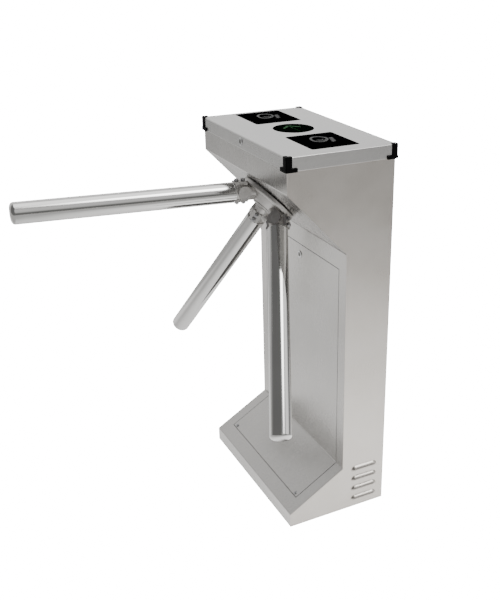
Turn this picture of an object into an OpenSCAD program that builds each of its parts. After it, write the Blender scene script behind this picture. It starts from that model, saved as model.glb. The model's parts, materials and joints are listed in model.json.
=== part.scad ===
// Waist-high tripod turnstile. A folded stainless cabinet carries a tilted hub with three barrier arms.
// +X runs along the passage, -Y faces the arms, +Z is up, and the origin is on the floor at the
// centre of the four anchor holes.

/* [Cabinet] */
// Length of the cabinet along the passage
body_len = 480; // [460:1:560]
// Depth of the cabinet from the arm side to the back
body_dep = 280; // [274:1:310]
// Height of the lid's top face above the floor
body_h = 980; // [960:1:1040]
// Thickness of the folded stainless sheet
sheet = 1.5; // [1.2:0.1:2]
// Depth of the recess that the arms swing through
recess_dep = 155; // [148:1:160]
// Height of the head's upright face, with the lid
head_h = 86; // [82:1:96]
// Slope of the face that carries the hub, from level
facet_slope = 46.7; // [45:0.1:48]
// Height of the toe's upright face
toe_h = 38; // [32:1:48]
// Height of the foot's slope where it meets the recess
foot_h = 128.5; // [118:0.5:145]

/* [Louvres] */
// Number of louvres in each end plate
louvre_count = 4; // [2:1:4]
// Length of a louvre over its round ends
louvre_len = 78; // [68:1:86]
// Distance between neighbouring louvres
louvre_pitch = 31; // [26:1:34]
// How far a louvre stands out of its plate
louvre_out = 8; // [6:0.5:9]
// Radius of the louvre's rounded back
louvre_r = 14; // [12:0.5:18]
// Distance of the louvres' middle from the cabinet's back
louvre_back = 60; // [52:1:70]
// Height of the lowest louvre's lip above the floor
louvre_z = 22; // [16:1:28]

/* [Access cover] */
// Width of the access cover
cover_w = 406; // [380:1:416]
// Drop of the cover's top edge below the top of the recess
cover_drop = 50; // [45:1:70]
// Distance of the cover's bottom edge from the toe, along the foot's slope
cover_toe = 41; // [36:1:50]
// Gap round the cover
cover_gap = 1.5; // [1:0.1:2.5]
// Width of the rim that the cover lies on, on each side of its edge
rim_w = 12; // [10:0.5:14]
// Thickness of the rim
rim_t = 2; // [1.5:0.1:3]
// Distance of the cover's screws from its bottom edge
cover_screw_up = 6; // [5.5:0.5:9]
// Distance of the cover's screws from its sides
cover_screw_in = 14; // [10:0.5:22]

/* [Base] */
// Thickness of the base plate
base_t = 4; // [3:0.5:6]
// Distance between the anchor holes along the passage
anchor_x = 380; // [340:1:400]
// Distance between the anchor holes across the passage
anchor_y = 190; // [170:1:200]
// Radius of an anchor hole
anchor_r = 7; // [6:0.5:8]
// Radius of the cable entry
cable_r = 30; // [25:1:35]
// Distance of the cable entry behind the middle
cable_back = 60; // [50:1:75]

/* [Lid] */
// Height of the lid's skirt
skirt_h = 33; // [31:1:38]
// Gap between the lid's skirt and the cabinet
skirt_gap = 0.8; // [0.6:0.1:1.5]
// Gap between the lid and the edges that it lies on
rest_gap = 0.3; // [0.2:0.05:0.5]
// Length of a reader window along the passage
window_x = 138; // [120:1:142]
// Width of a reader window across the passage
window_y = 125; // [110:1:135]
// Radius of a reader window's corners
window_round = 6; // [4:0.5:9]
// Distance between the two windows' middles
window_pitch = 292; // [284:1:298]
// Radius of the round indicator
lens_r = 51; // [44:0.5:56]
// Shift of the windows and the indicator along the passage
panel_x = -11; // [-14:1:14]
// Shift of the windows and the indicator away from the arms
panel_y = 4; // [-6:1:8]
// Width of the flange that holds a window under the lid
window_flange = 5; // [3:0.5:6]
// Thickness of a window's flange
window_t = 2; // [1.5:0.1:3]
// Clearance between pieces that are seated in each other
fit = 0.3; // [0.2:0.05:0.4]
// Thickness of a reader module
reader_t = 16; // [12:1:20]

/* [Corner caps] */
// Width of a corner cap's bar on each face
cap_bar = 13; // [10:0.5:16]
// Width of a corner cap's foot on each face
cap_foot = 26; // [20:0.5:30]
// Height of the foot
cap_foot_h = 9; // [7:0.5:11]
// How far a corner cap's foot hangs below the lid's skirt
cap_down = 1; // [0:0.5:3]
// Thickness of the bar over the lid
cap_t = 2.5; // [2:0.1:3.5]
// Thickness of the foot over the lid
cap_foot_t = 3.5; // [3:0.1:4.5]

/* [Lid hinge] */
// Radius of the hinge's barrel
barrel_r = 3; // [2.8:0.1:3.4]
// Radius of the hinge's pin
pin_r = 1.5; // [1.2:0.1:1.8]
// Thickness of the hinge's leaves
leaf_t = 1.2; // [1:0.1:1.4]
// Width of a leaf
leaf_w = 26; // [20:1:32]
// Length of the piano hinge
hinge_len = 420; // [380:1:430]
// Number of knuckles
knuckles = 15; // [9:2:21]
// Gap between neighbouring knuckles
knuckle_gap = 0.4; // [0.3:0.05:0.6]
// Running clearance of a pin, shaft or plug in its hole
run = 0.05; // [0.02:0.01:0.1]

/* [Locks] */
// Radius of a lock's flange
lock_flange_r = 9.5; // [8:0.5:11]
// Radius of a lock's body
lock_r = 8; // [7:0.5:9]
// Radius of the plug that the key turns
plug_r = 6; // [5:0.5:6.5]
// Length of the lid lock's body behind the skirt
lid_lock_len = 16; // [14:1:20]
// Height of the lid lock above the lid's lower edge
lid_lock_up = 18; // [15:1:20]
// Drop of the cover lock below the cover's top edge
cover_lock_drop = 28; // [24:1:34]
// Length of a lock's tongue from the plug's axis
tongue_len = 28; // [24:1:34]
// Width of a lock's tongue
tongue_w = 12; // [10:0.5:13]
// Thickness of a lock's tongue
tongue_t = 2.5; // [2:0.1:3]

/* [Tripod] */
// Distance of the hub's axis from the top of the slope
hub_drop = 104; // [100:1:112]
// Radius of the hub's flange
flange_r = 77; // [74:0.5:82]
// Thickness of the hub's flange
flange_t = 11; // [8:0.5:13]
// Gap between the hub's flange and the slope
hub_gap = 3; // [2:0.1:5]
// Radius of the hub's casting at the flange
hub_r = 56; // [50:0.5:60]
// Radius of the hub's flat nose
nose_r = 34; // [30:0.5:38]
// Height of the hub's casting over the flange
hub_t = 17; // [14:0.5:22]
// How far behind the slope the three arms' axes meet
apex_in = 28; // [24:0.5:32]
// Angle between an arm and the hub's axis
arm_cone = 45; // [44:0.5:46]
// Turn of the three arms on the hub, past the level position
arm_phase = -5; // [-8:0.5:8]
// Radius of an arm's tube
arm_r = 25.4; // [22:0.1:26.5]
// Wall of an arm's tube
arm_wall = 1.5; // [1.2:0.1:2.5]
// Distance from the point where the axes meet to the tube's root
arm_root = 118; // [114:1:126]
// Length of an arm's tube
arm_len = 507; // [440:1:540]
// Height of the domed cap at an arm's tip
tip_h = 10; // [7:0.5:14]
// Radius of the socket that holds an arm
socket_r = 22.5; // [20:0.5:23]
// Radius of the spigot that enters the socket
spigot_r = 17; // [15:0.5:18]
// Thickness of the root plug's collar
collar_t = 4; // [3:0.5:6]

/* [Mechanism] */
// Radius of the main shaft
shaft_r = 12.5; // [10:0.5:13]
// Radius of the opening in the slope, round the bearing housing
hub_hole_r = 36; // [34:0.5:40]
// Height of the rails behind the slope
rail_h = 20; // [16:1:24]
// Width of the rails
rail_w = 30; // [24:1:34]
// Wall of the rails
rail_wall = 2; // [1.5:0.1:3]
// Distance of each rail's middle from the hub's axis
rail_off = 70; // [66:1:74]
// Thickness of the mechanism plate
plate_t = 8; // [6:0.5:10]
// Length of the mechanism plate along the passage
plate_x = 330; // [320:1:350]
// Radius of the bearing housing's barrel
housing_r = 31; // [29:0.5:33]
// Radius of the bearing housing's flange
housing_flange_r = 47; // [44:0.5:50]
// Outer radius of a shaft bearing
bearing_r = 23.5; // [22:0.5:25]
// Width of a shaft bearing
bearing_w = 12; // [10:0.5:14]
// Radius of the locking disc
disc_r = 52; // [48:0.5:54]
// Thickness of the locking disc
disc_t = 8; // [6:0.5:9]
// Number of notches in the locking disc
notches = 12; // [6:6:12]
// Depth of a notch
notch_dep = 7; // [6:0.5:8]
// Width of a notch
notch_w = 10; // [9:0.5:12]
// Swing of a locking pawl, in degrees
pawl_swing = 9; // [8.5:0.5:10]
// Thickness of a pawl
pawl_t = 8; // [6:0.5:8]
// Distance of the centring pins from the shaft's axis
pins_r = 35; // [33:0.5:36]
// Radius of a centring pin
pin_round = 5; // [4:0.5:6]
// Radius of the centring roller
roller_r = 9; // [8:0.5:10]
// Module of the damper's gears
gear_m = 1.5; // [1.5:0.25:1.5]
// Teeth of the shaft's gear
gear_z = 48; // [42:6:48]
// Teeth of the damper's pinion
pinion_z = 16; // [16:1:18]
// Width of the gears
gear_w = 10; // [8:0.5:12]

/* [Electrics] */
// Length of the control board
board_x = 170; // [140:1:190]
// Height of the control board
board_z = 120; // [100:1:130]
// Height of the control board's middle above the floor
board_up = 560; // [520:1:600]
// Length of the power supply
supply_x = 160; // [140:1:180]
// Height of the power supply
supply_z = 98; // [90:1:110]
// Depth of the power supply
supply_y = 38; // [30:1:45]
// Height of the power supply's middle above the floor
supply_up = 330; // [300:1:380]
// Length of the standoffs behind the board and the supply
standoff = 12; // [8:1:16]

/* [Hidden] */
$fn = 64;
eps = 0.01;

// Finishes
steel = "silver";
bright = "gainsboro";
dark = "dimgray";
black = [0.06, 0.06, 0.06];
brass = "goldenrod";

// The cabinet's folds, as depth and height, from the top of the head down to the toe
half = body_len / 2;
inner = half - sheet;
front_y = -body_dep / 2;
back_y = body_dep / 2;
recess_y = front_y + recess_dep;
top_z = body_h - sheet - rest_gap;
fold_z = body_h - head_h;
recess_top = fold_z - recess_dep * tan(facet_slope);
foot_angle = atan((foot_h - toe_h) / recess_dep);
toe = [front_y, toe_h];
up_foot = [cos(foot_angle), sin(foot_angle)];
front = [[front_y, top_z], [front_y, fold_z], [recess_y, recess_top], [recess_y, foot_h], toe,
         [front_y, 0]];

// The access cover's folds
cover_top = [recess_y, recess_top - cover_drop];
heel = front[3];
function cover_line(above, below) =
  [cover_top + [0, above], heel, toe + (cover_toe - below) * up_foot];
cover_screw_t = cover_toe + cover_screw_up;
cover_screw_x = cover_w / 2 - cover_screw_in;
cover_lock_z = cover_top[1] - cover_lock_drop;
cover_lock_len = sheet + rim_t + 0.5;

// The lid
lid_x = half + skirt_gap + sheet;
lid_y = back_y + skirt_gap + sheet;
skirt_z = body_h - skirt_h;
lid_under = body_h - sheet;
lid_lock_z = skirt_z + lid_lock_up;
window_under = lid_under - window_t;

// The lid's hinge
barrel_gap = 0.2;
lid_drop = 0.4;
hinge_y = back_y + barrel_gap + barrel_r;
hinge_z = lid_under - lid_drop - barrel_r;
rear_top = lid_under - leaf_t - rest_gap;

// Heights along the hub's axis, from the slope's outer face, positive outwards
flange_top = hub_gap + flange_t;
nose_top = flange_top + hub_t;
plate_front = -sheet - rail_h;
plate_back = plate_front - plate_t;
housing_front = -6;
housing_end = plate_back - 48.5;
encoder_t = 2;
encoder_back = housing_end - 2 - encoder_t;
disc_back = encoder_back - 4 - disc_t;
wheel_t = 4;
wheel_back = disc_back - 4 - wheel_t;
pin_len = 12;
pin_end = wheel_back - pin_len;
lever_t = 7;
lever_front = pin_end - 2;
lever_back = lever_front - lever_t;
gear_back = lever_back - 3 - gear_w;
nut_t = 5;
nut_back = gear_back - 1 - nut_t;
shaft_end = nut_back - 3;
shaft_tip = nose_top - 9;
hub_angle = 180 - facet_slope;
hub_y = front_y + hub_drop * cos(facet_slope);
hub_z = fold_z - hub_drop * sin(facet_slope);

// The pawls
post_r = 5;
pawl_x = 50;
pawl_y = 47;
pawl_hub_r = 10;
tip_x = disc_r - notch_dep + 1.8;
link_x = 64;
link_y = -16;
link_r = 2.5;
link_rest = [pawl_x, pawl_y] + turned([link_x - pawl_x, link_y - pawl_y], pawl_swing);
plunger_y = (link_rest[1] + link_y) / 2;
plunger_r = 5;
solenoid_x = 96;
solenoid_l = 50;
solenoid_h = 28;
pawl_mid = disc_back + disc_t / 2;

// The centring lever
lever_x = -95;
lever_y = 41;
roller_y = pins_r + pin_round + roller_r + 0.4;
roller_w = 11;
roller_pin_r = 4;
coil_r = 9;
wire_r = 1;
coil_steps = 10;
coil_inside = coil_r * cos(180 / coil_steps) - wire_r;

// The damper
gear_play = 0.15;
pinion_y = -(gear_m * (gear_z + pinion_z) / 2 + gear_play);
pinion_shaft_r = 4;
damper_r = 20;
damper_l = 36;
bracket_t = 4;
bracket_back = gear_back - 4 - bracket_t;

function unit(v) = v / norm(v);
function turned(v, a) = [v[0] * cos(a) - v[1] * sin(a), v[0] * sin(a) + v[1] * cos(a)];
function inward(d) = [-d[1], d[0]];
function reversed(p) = [for (i = [len(p) - 1:-1:0]) p[i]];

// Moves a line of folds inwards by t, with mitred corners
function inset(p, t) =
  let (n = [for (i = [0:len(p) - 2]) inward(unit(p[i + 1] - p[i]))], last = len(p) - 1)
  [for (i = [0:last])
    i == 0 ? p[0] + t * n[0] :
    i == last ? p[last] + t * n[last - 1] :
    p[i] + t * (n[i - 1] + n[i]) / (1 + n[i - 1] * n[i])];

// Extrudes an outline of depths and heights along the passage
module along_x(x0, x1) {
  translate([x0, 0, 0]) rotate([90, 0, 90]) linear_extrude(x1 - x0) children();
}

// A sheet that follows a line of folds, between two depths under its outer face
module folded(line, t0, t1, x0, x1) {
  along_x(x0, x1) polygon(concat(inset(line, t0), reversed(inset(line, t1))));
}

// Places its children on the slope, with +Z along the hub's axis and +Y up the slope
module on_slope() {
  translate([0, hub_y, hub_z]) rotate([hub_angle, 0, 0]) children();
}

// Places its children on the foot, t up its slope, with +Z out of it
module on_foot(x, t) {
  translate([x, toe[0] + t * up_foot[0], toe[1] + t * up_foot[1]])
    rotate([foot_angle, 0, 0]) children();
}

// A round ring or tube along +Z
module tube(r_out, r_in, z0, z1) {
  translate([0, 0, z0]) difference() {
    cylinder(r = r_out, h = z1 - z0);
    translate([0, 0, -eps]) cylinder(r = r_in, h = z1 - z0 + 2 * eps);
  }
}

module disc(r, z0, z1) {
  translate([0, 0, z0]) cylinder(r = r, h = z1 - z0);
}

module box(x0, x1, y0, y1, z0, z1) {
  translate([x0, y0, z0]) cube([x1 - x0, y1 - y0, z1 - z0]);
}

// Cabinet sheets

function louvre_chord(r) = sqrt(r * r - pow(louvre_r - louvre_out, 2));

// The upper half of a round-ended bulge of radius r, outside the plate's inner face
module louvre_bulge(r) {
  straight = louvre_len / 2 - louvre_chord(louvre_r);
  intersection() {
    translate([half - louvre_r + louvre_out, 0, 0]) union() {
      rotate([90, 0, 0]) cylinder(r = r, h = 2 * straight, center = true);
      for (s = [-1, 1]) translate([0, s * straight, 0]) sphere(r = r);
    }
    box(inner, half + louvre_r, -louvre_len, louvre_len, 0, 2 * louvre_r);
  }
}

module at_louvres() {
  for (i = [0:louvre_count - 1])
    translate([0, back_y - louvre_back, louvre_z + i * louvre_pitch]) children();
}

module end_plate() {
  color(steel) difference() {
    union() {
      along_x(inner, half) polygon(concat(front, [[back_y, 0], [back_y, top_z]]));
      at_louvres() louvre_bulge(louvre_r);
    }
    at_louvres() louvre_bulge(louvre_r - sheet);
  }
}

module end_plate_right() { end_plate(); }

module end_plate_left() { mirror([1, 0, 0]) end_plate(); }

module rear_panel() {
  color(steel) box(-inner, inner, back_y - sheet, back_y, 0, rear_top);
}

// The part of the front sheet from fold a to fold b
module front_sheet(a, b) {
  skin = inset(front, sheet);
  along_x(-inner, inner)
    polygon(concat([for (i = [a:b]) front[i]], [for (i = [b:-1:a]) skin[i]]));
}

// The keeper that the lid lock's tongue turns under
keeper_x = 12;
keeper_w = 22;
keeper_t = 2;
keeper_y = 19;
keeper_gap = 1;
keeper_z = lid_lock_z + tongue_w / 2 + keeper_gap;

module head_panel() {
  lock_way = lock_r + 1;
  color(steel) {
    difference() {
      front_sheet(0, 2);
      on_slope() disc(hub_hole_r, -2 * sheet, sheet);
      translate([0, front_y - sheet, lid_lock_z]) {
        rotate([-90, 0, 0]) cylinder(r = lock_way, h = 3 * sheet);
        box(-lock_way, lock_way, 0, 3 * sheet, 0, head_h);
      }
    }
    translate([keeper_x, front_y + sheet, keeper_z]) {
      box(0, keeper_w, 0, keeper_t, -keeper_w, 0);
      box(0, keeper_w, 0, keeper_y, 0, keeper_t);
    }
  }
}

module door_frame() {
  side = cover_w / 2 + cover_gap;
  color(steel) difference() {
    front_sheet(2, 5);
    folded(cover_line(cover_gap, cover_gap), -sheet, 2 * sheet, -side, side);
  }
}

module cover_rim() {
  outer = cover_w / 2 + rim_w;
  inner_side = cover_w / 2 - rim_w;
  color(steel) difference() {
    folded(cover_line(rim_w, rim_w), sheet, sheet + rim_t, -outer, outer);
    folded(cover_line(-rim_w, -rim_w - cover_screw_up), 0, 2 * (sheet + rim_t),
           -inner_side, inner_side);
    at_cover_screws() disc(screw_r + run, -3 * (sheet + rim_t), 0);
  }
}

screw_r = 2.5;
screw_head_r = 5;
screw_head_h = 2.6;
module at_cover_screws() {
  for (s = [-1, 1]) on_foot(s * cover_screw_x, cover_screw_t) children();
}

module access_cover() {
  color(steel) difference() {
    folded(cover_line(0, 0), 0, sheet, -cover_w / 2, cover_w / 2);
    at_cover_screws() disc(screw_r + run, -2 * sheet, sheet);
    at_cover_lock() disc(lock_r + run, -2 * sheet, sheet);
  }
}

module cover_screws() {
  color(bright) at_cover_screws() difference() {
    union() {
      disc(screw_r, -sheet - rim_t - 4, eps);
      rotate_extrude() polygon([[0, 0], [screw_head_r, 0], [screw_head_r, screw_head_h / 2],
                                [screw_head_r * 0.7, screw_head_h], [0, screw_head_h]]);
    }
    translate([0, 0, screw_head_h - 1.4]) cylinder(r = 1.7, h = 2, $fn = 6);
  }
}

module base_plate() {
  edge = sheet + fit;
  color(dark) difference() {
    box(edge - half, half - edge, front_y + edge, back_y - edge, 0, base_t);
    for (sx = [-1, 1], sy = [-1, 1]) translate([sx * anchor_x / 2, sy * anchor_y / 2, -eps])
      cylinder(r = anchor_r, h = base_t + 2 * eps);
    translate([0, cable_back, -eps]) cylinder(r = cable_r, h = base_t + 2 * eps);
  }
}

// Locks

module at_lid_lock() { translate([0, -lid_y, lid_lock_z]) rotate([90, 0, 0]) children(); }

module at_cover_lock() {
  translate([0, recess_y, cover_lock_z]) rotate([90, 0, 0]) children();
}

module lock_body(length) {
  flange_h = 2;
  color(bright) difference() {
    union() {
      disc(lock_r, -length, eps);
      rotate_extrude() polygon([[0, 0], [lock_flange_r, 0], [lock_flange_r, flange_h * 0.6],
                                [lock_flange_r - 0.8, flange_h], [0, flange_h]]);
    }
    disc(plug_r + run, -length - eps, flange_h + eps);
  }
}

// The plug and its tongue, which points along the angle way
module lock_plug(length, way) {
  key_w = 1.4;
  key_l = 7;
  tongue_top = -length - fit;
  color(brass) difference() {
    union() {
      disc(plug_r, tongue_top - tongue_t - 2, 1.6);
      rotate([0, 0, way]) box(0, tongue_len, -tongue_w / 2, tongue_w / 2, tongue_top - tongue_t,
                              tongue_top);
    }
    rotate([0, 0, way]) box(-key_l / 2, key_l / 2, -key_w / 2, key_w / 2, -1, 3);
  }
}

module lid_lock_body() { at_lid_lock() lock_body(lid_lock_len); }
module lid_lock_plug() { at_lid_lock() lock_plug(lid_lock_len, -90); }
module cover_lock_body() { at_cover_lock() lock_body(cover_lock_len); }
module cover_lock_plug() { at_cover_lock() lock_plug(cover_lock_len, 90); }

// Lid

module at_windows() {
  for (s = [-1, 1]) translate([panel_x + s * window_pitch / 2, panel_y, 0]) children();
}

// A window's outline with round corners, smaller by gap all round
module pane(gap, z0, z1) {
  x = window_x / 2 - gap;
  y = window_y / 2 - gap;
  r = window_round - gap;
  translate([0, 0, z0]) linear_extrude(z1 - z0) {
    square([2 * x, 2 * (y - r)], center = true);
    square([2 * (x - r), 2 * y], center = true);
    for (sx = [-1, 1], sy = [-1, 1]) translate([sx * (x - r), sy * (y - r)]) circle(r = r);
  }
}

module top_lid() {
  color(steel) difference() {
    box(-lid_x, lid_x, -lid_y, lid_y, skirt_z, body_h);
    box(sheet - lid_x, lid_x - sheet, sheet - lid_y, lid_y + eps, skirt_z - eps, lid_under);
    at_windows() pane(0, skirt_z, body_h + 1);
    translate([panel_x, panel_y, 0]) disc(lens_r, skirt_z, body_h + 1);
    at_lid_lock() disc(lock_r + run, -2 * sheet, sheet);
  }
}

module reader_windows() {
  color(black) at_windows() {
    pane(fit, lid_under - eps, body_h);
    box(-window_x / 2 - window_flange, window_x / 2 + window_flange,
        -window_y / 2 - window_flange, window_y / 2 + window_flange, window_under, lid_under);
  }
}

module indicator_lens() {
  color(black) translate([panel_x, panel_y, 0]) {
    disc(lens_r - fit, lid_under - eps, body_h);
    disc(lens_r + window_flange, window_under, lid_under);
  }
}

module reader_modules() {
  color(dark) at_windows()
    box(-window_x * 0.36, window_x * 0.36, -window_y * 0.36, window_y * 0.36,
        window_under - reader_t, window_under);
}

module indicator_board() {
  rim = 2;
  deep = 8;
  color("seagreen") translate([panel_x, panel_y, window_under - deep]) {
    tube(lens_r - rim, lens_r - 2 * rim, 0, deep);
    disc(lens_r - 1.5 * rim, 0, rim);
    for (a = [0:30:330]) rotate([0, 0, a]) translate([lens_r * 0.6, 0, rim]) cylinder(r = 2.5, h = 3);
  }
}

// An angle piece outside the lid's corner at the origin, which may also lie over the lid
module corner_angle(reach_x, reach_y, t, over) {
  intersection() {
    circle(r = t);
    square(t);
  }
  translate([-reach_x, -over]) square([reach_x, t + over]);
  translate([-over, -reach_y]) square([t + over, reach_y]);
}

module corner_cap(rear) {
  behind = half + skirt_gap - lid_x;
  bar = rear ? -behind : cap_bar;
  foot = rear ? -behind : cap_foot;
  translate([0, 0, skirt_z - cap_down]) {
    linear_extrude(skirt_h + cap_down) corner_angle(bar, cap_bar, cap_t, 0);
    linear_extrude(cap_foot_h) corner_angle(foot, cap_foot, cap_foot_t, 0);
  }
  translate([0, 0, body_h]) linear_extrude(cap_t * 0.6)
    corner_angle(cap_bar, cap_bar, cap_t, cap_bar / 2);
}

module corner_caps() {
  color(black) for (sx = [0, 1], sy = [0, 1])
    mirror([sx, 0, 0]) mirror([0, sy, 0]) translate([lid_x, lid_y, 0]) corner_cap(sy == 0);
}

// Lid hinge

knuckle_pitch = hinge_len / knuckles;

module at_knuckles(first) {
  for (i = [first:2:knuckles - 1])
    translate([-hinge_len / 2 + i * knuckle_pitch, hinge_y, hinge_z]) children();
}

module barrel(r, gap) {
  translate([gap / 2, 0, 0]) rotate([0, 90, 0]) cylinder(r = r, h = knuckle_pitch - gap);
}

module barrel_way(clear) {
  translate([-clear / 2, -barrel_r - clear, -barrel_r - clear])
    cube([knuckle_pitch + clear, 2 * (barrel_r + clear), 2 * (barrel_r + clear)]);
}

module hinge_leaf(first) {
  difference() {
    union() {
      difference() {
        children();
        at_knuckles(1 - first) barrel_way(knuckle_gap);
      }
      at_knuckles(first) barrel(barrel_r, knuckle_gap);
    }
    translate([-hinge_len, hinge_y, hinge_z]) rotate([0, 90, 0])
      cylinder(r = pin_r + run, h = 2 * hinge_len);
  }
}

module lid_hinge_leaf() {
  color(bright) hinge_leaf(0)
    box(-hinge_len / 2, hinge_len / 2, hinge_y - leaf_w, hinge_y, lid_under - leaf_t, lid_under);
}

module cabinet_hinge_leaf() {
  color(bright) hinge_leaf(1)
    box(-hinge_len / 2, hinge_len / 2, back_y, back_y + leaf_t, hinge_z - leaf_w, hinge_z);
}

module hinge_pin() {
  color(bright) translate([-hinge_len / 2, hinge_y, hinge_z]) rotate([0, 90, 0])
    cylinder(r = pin_r, h = hinge_len);
}

// Tripod: the hub and its arms

// Places its children on arm k, with +Z along the arm and +X away from the slope
module on_arm(k) {
  on_slope() rotate([0, 0, 90 - arm_phase - 120 * (k - 1)]) translate([0, 0, -apex_in])
    rotate([0, arm_cone, 0]) children();
}

module hub_flange() {
  edge = 2.5;
  color(bright) on_slope() rotate_extrude() polygon([
    [shaft_r + run, hub_gap], [flange_r, hub_gap], [flange_r, flange_top - edge],
    [flange_r - edge, flange_top], [shaft_r + run, flange_top]]);
}

socket_end = arm_root - collar_t - fit;
spigot_in = 80;
lug_from = 82;
lug_w = 26;
lug_out = socket_r + 4.5;
lug_in = socket_r + 1;
cheek_at = 93;
cheek_r = 17;
cheek_w = socket_r + 2;
arm_bolt_r = 3;
arm_bolt_at = [90, 107];
arm_bolt_head_r = 5.5;
arm_bolt_head_h = 6;
arm_nut_h = 5;
bolt_head_r = 9;
bolt_r = 5;
bolt_seat = nose_top - 6;

module hub_casting() {
  color(bright) difference() {
    union() {
      on_slope() disc_cone(hub_r, nose_r, flange_top, nose_top);
      intersection() {
        for (k = [1:3]) on_arm(k) {
          disc(socket_r, 30, socket_end);
          box(-lug_in, lug_out, -lug_w / 2, lug_w / 2, lug_from, socket_end);
          translate([0, 0, cheek_at]) rotate([90, 0, 0]) disc(cheek_r, -cheek_w, cheek_w);
        }
        on_slope() disc(2 * flange_r, flange_top, 2 * flange_r);
      }
    }
    on_slope() {
      disc(shaft_r + run, 0, shaft_tip + 1);
      disc(bolt_r + fit, 0, nose_top);
      disc(bolt_head_r + 1, bolt_seat, 2 * flange_r);
    }
    for (k = [1:3]) on_arm(k) {
      disc(spigot_r + run, spigot_in - 1, 2 * socket_end);
      at_arm_bolts() disc(arm_bolt_r + run, -2 * lug_out, 2 * lug_out);
    }
  }
}

module disc_cone(r0, r1, z0, z1) {
  translate([0, 0, z0]) cylinder(r1 = r0, r2 = r1, h = z1 - z0);
}

// The two bolts through each socket, one behind the other
module at_arm_bolts() {
  for (h = arm_bolt_at) translate([0, 0, h]) rotate([0, 90, 0]) children();
}

module hub_cap() {
  socket_way = (nose_top + apex_in) * tan(arm_cone) - socket_r / cos(arm_cone);
  cap_r = min(nose_r - 4, socket_way - 2 * fit);
  color(bright) on_slope() rotate_extrude() polygon([
    [0, nose_top], [cap_r, nose_top], [cap_r, nose_top + 1.5], [cap_r - 2, nose_top + 3],
    [0, nose_top + 3]]);
}

module hub_bolt() {
  color(dark) on_slope() difference() {
    union() {
      disc(bolt_head_r, bolt_seat, nose_top - 1);
      disc(bolt_r, shaft_tip - 24, bolt_seat + eps);
    }
    translate([0, 0, nose_top - 4]) cylinder(r = 4.6, h = 5, $fn = 6);
  }
}

module arm_tube(k) {
  color(bright) on_arm(k) tube(arm_r, arm_r - arm_wall, arm_root, arm_root + arm_len);
}

module arm_tube_1() { arm_tube(1); }
module arm_tube_2() { arm_tube(2); }
module arm_tube_3() { arm_tube(3); }

module arm_root_plugs() {
  in_tube = arm_r - arm_wall - run;
  color(bright) for (k = [1:3]) on_arm(k) difference() {
    union() {
      disc(spigot_r, spigot_in, arm_root);
      disc(arm_r, arm_root - collar_t, arm_root);
      disc(in_tube, arm_root - eps, arm_root + 30);
    }
    at_arm_bolts() disc(arm_bolt_r + run, -2 * lug_out, 2 * lug_out);
  }
}

module arm_bolts() {
  color(dark) for (k = [1:3]) on_arm(k) at_arm_bolts() {
    disc(arm_bolt_r, -lug_in - arm_nut_h - 2, lug_out + eps);
    difference() {
      disc(arm_bolt_head_r, lug_out, lug_out + arm_bolt_head_h);
      translate([0, 0, lug_out + 2.5]) cylinder(r = 2.9, h = arm_bolt_head_h, $fn = 6);
    }
    translate([0, 0, -lug_in - arm_nut_h]) cylinder(r = 6, h = arm_nut_h, $fn = 6);
  }
}

module arm_tip_caps() {
  in_tube = arm_r - arm_wall - run;
  end = arm_root + arm_len;
  flat_r = arm_r * 0.42;
  bulge = arm_r - flat_r;
  steps = 8;
  color(bright) for (k = [1:3]) on_arm(k) rotate_extrude() polygon(concat(
    [[0, end - 14], [in_tube, end - 14], [in_tube, end], [arm_r, end]],
    [for (i = [1:steps]) [flat_r + bulge * cos(90 * i / steps), end + tip_h * sin(90 * i / steps)]],
    [[0, end + tip_h]]));
}

// Tripod: what turns inside the cabinet

module main_shaft() {
  color(bright) on_slope() difference() {
    disc(shaft_r, shaft_end, shaft_tip);
    disc(bolt_r + run, shaft_tip - 26, shaft_tip + 1);
  }
}

module locking_disc() {
  color(dark) on_slope() difference() {
    tube(disc_r, shaft_r + run, disc_back, disc_back + disc_t);
    for (i = [0:notches - 1]) rotate([0, 0, i * 360 / notches])
      box(disc_r - notch_dep, disc_r + 1, -notch_w / 2, notch_w / 2, disc_back - 1,
          disc_back + disc_t + 1);
  }
}

module pin_wheel() {
  color(dark) on_slope() {
    tube(pins_r + pin_round + 2, shaft_r + run, wheel_back, wheel_back + wheel_t);
    for (i = [0:2]) rotate([0, 0, 30 + 120 * i]) translate([pins_r, 0, 0])
      disc(pin_round, pin_end, wheel_back + eps);
  }
}

encoder_r = 45;
module encoder_disc() {
  slots = 24;
  color(bright) on_slope() difference() {
    tube(encoder_r, shaft_r + run, encoder_back, encoder_back + encoder_t);
    for (i = [0:slots - 1]) rotate([0, 0, i * 360 / slots])
      box(encoder_r - 8, encoder_r - 2, -1.5, 1.5, encoder_back - 1, encoder_back + 4);
  }
}

// Half the angle that a gear's tooth covers at radius r, from its involute flanks
function tooth_half(r, z) =
  let (base = gear_m * z / 2 * cos(20), a = acos(min(1, base / r)))
  90 / z + (tan(20) - 20 * PI / 180 - tan(a) + a * PI / 180) * 180 / PI - gear_play / (gear_m * z) * 60;

module gear_outline(z, addendum) {
  pitch_r = gear_m * z / 2;
  root = pitch_r - 1.25 * gear_m;
  tip = pitch_r + addendum * gear_m;
  steps = 4;
  radii = concat([root], [for (i = [0:steps]) let (low = max(root, pitch_r * cos(20)) + 0.01)
    low + (tip - low) * i / steps]);
  polygon([for (t = [0:z - 1], side = [-1, 1], i = [0:steps + 1])
    let (r = radii[side < 0 ? i : steps + 1 - i], a = t * 360 / z + side * tooth_half(r, z))
    [r * cos(a), r * sin(a)]]);
}

module drive_gear() {
  color(brass) on_slope() translate([0, 0, gear_back]) rotate([0, 0, -90]) difference() {
    linear_extrude(gear_w) gear_outline(gear_z, 0.9);
    translate([0, 0, -eps]) cylinder(r = shaft_r + run, h = gear_w + 2 * eps);
  }
}

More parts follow.
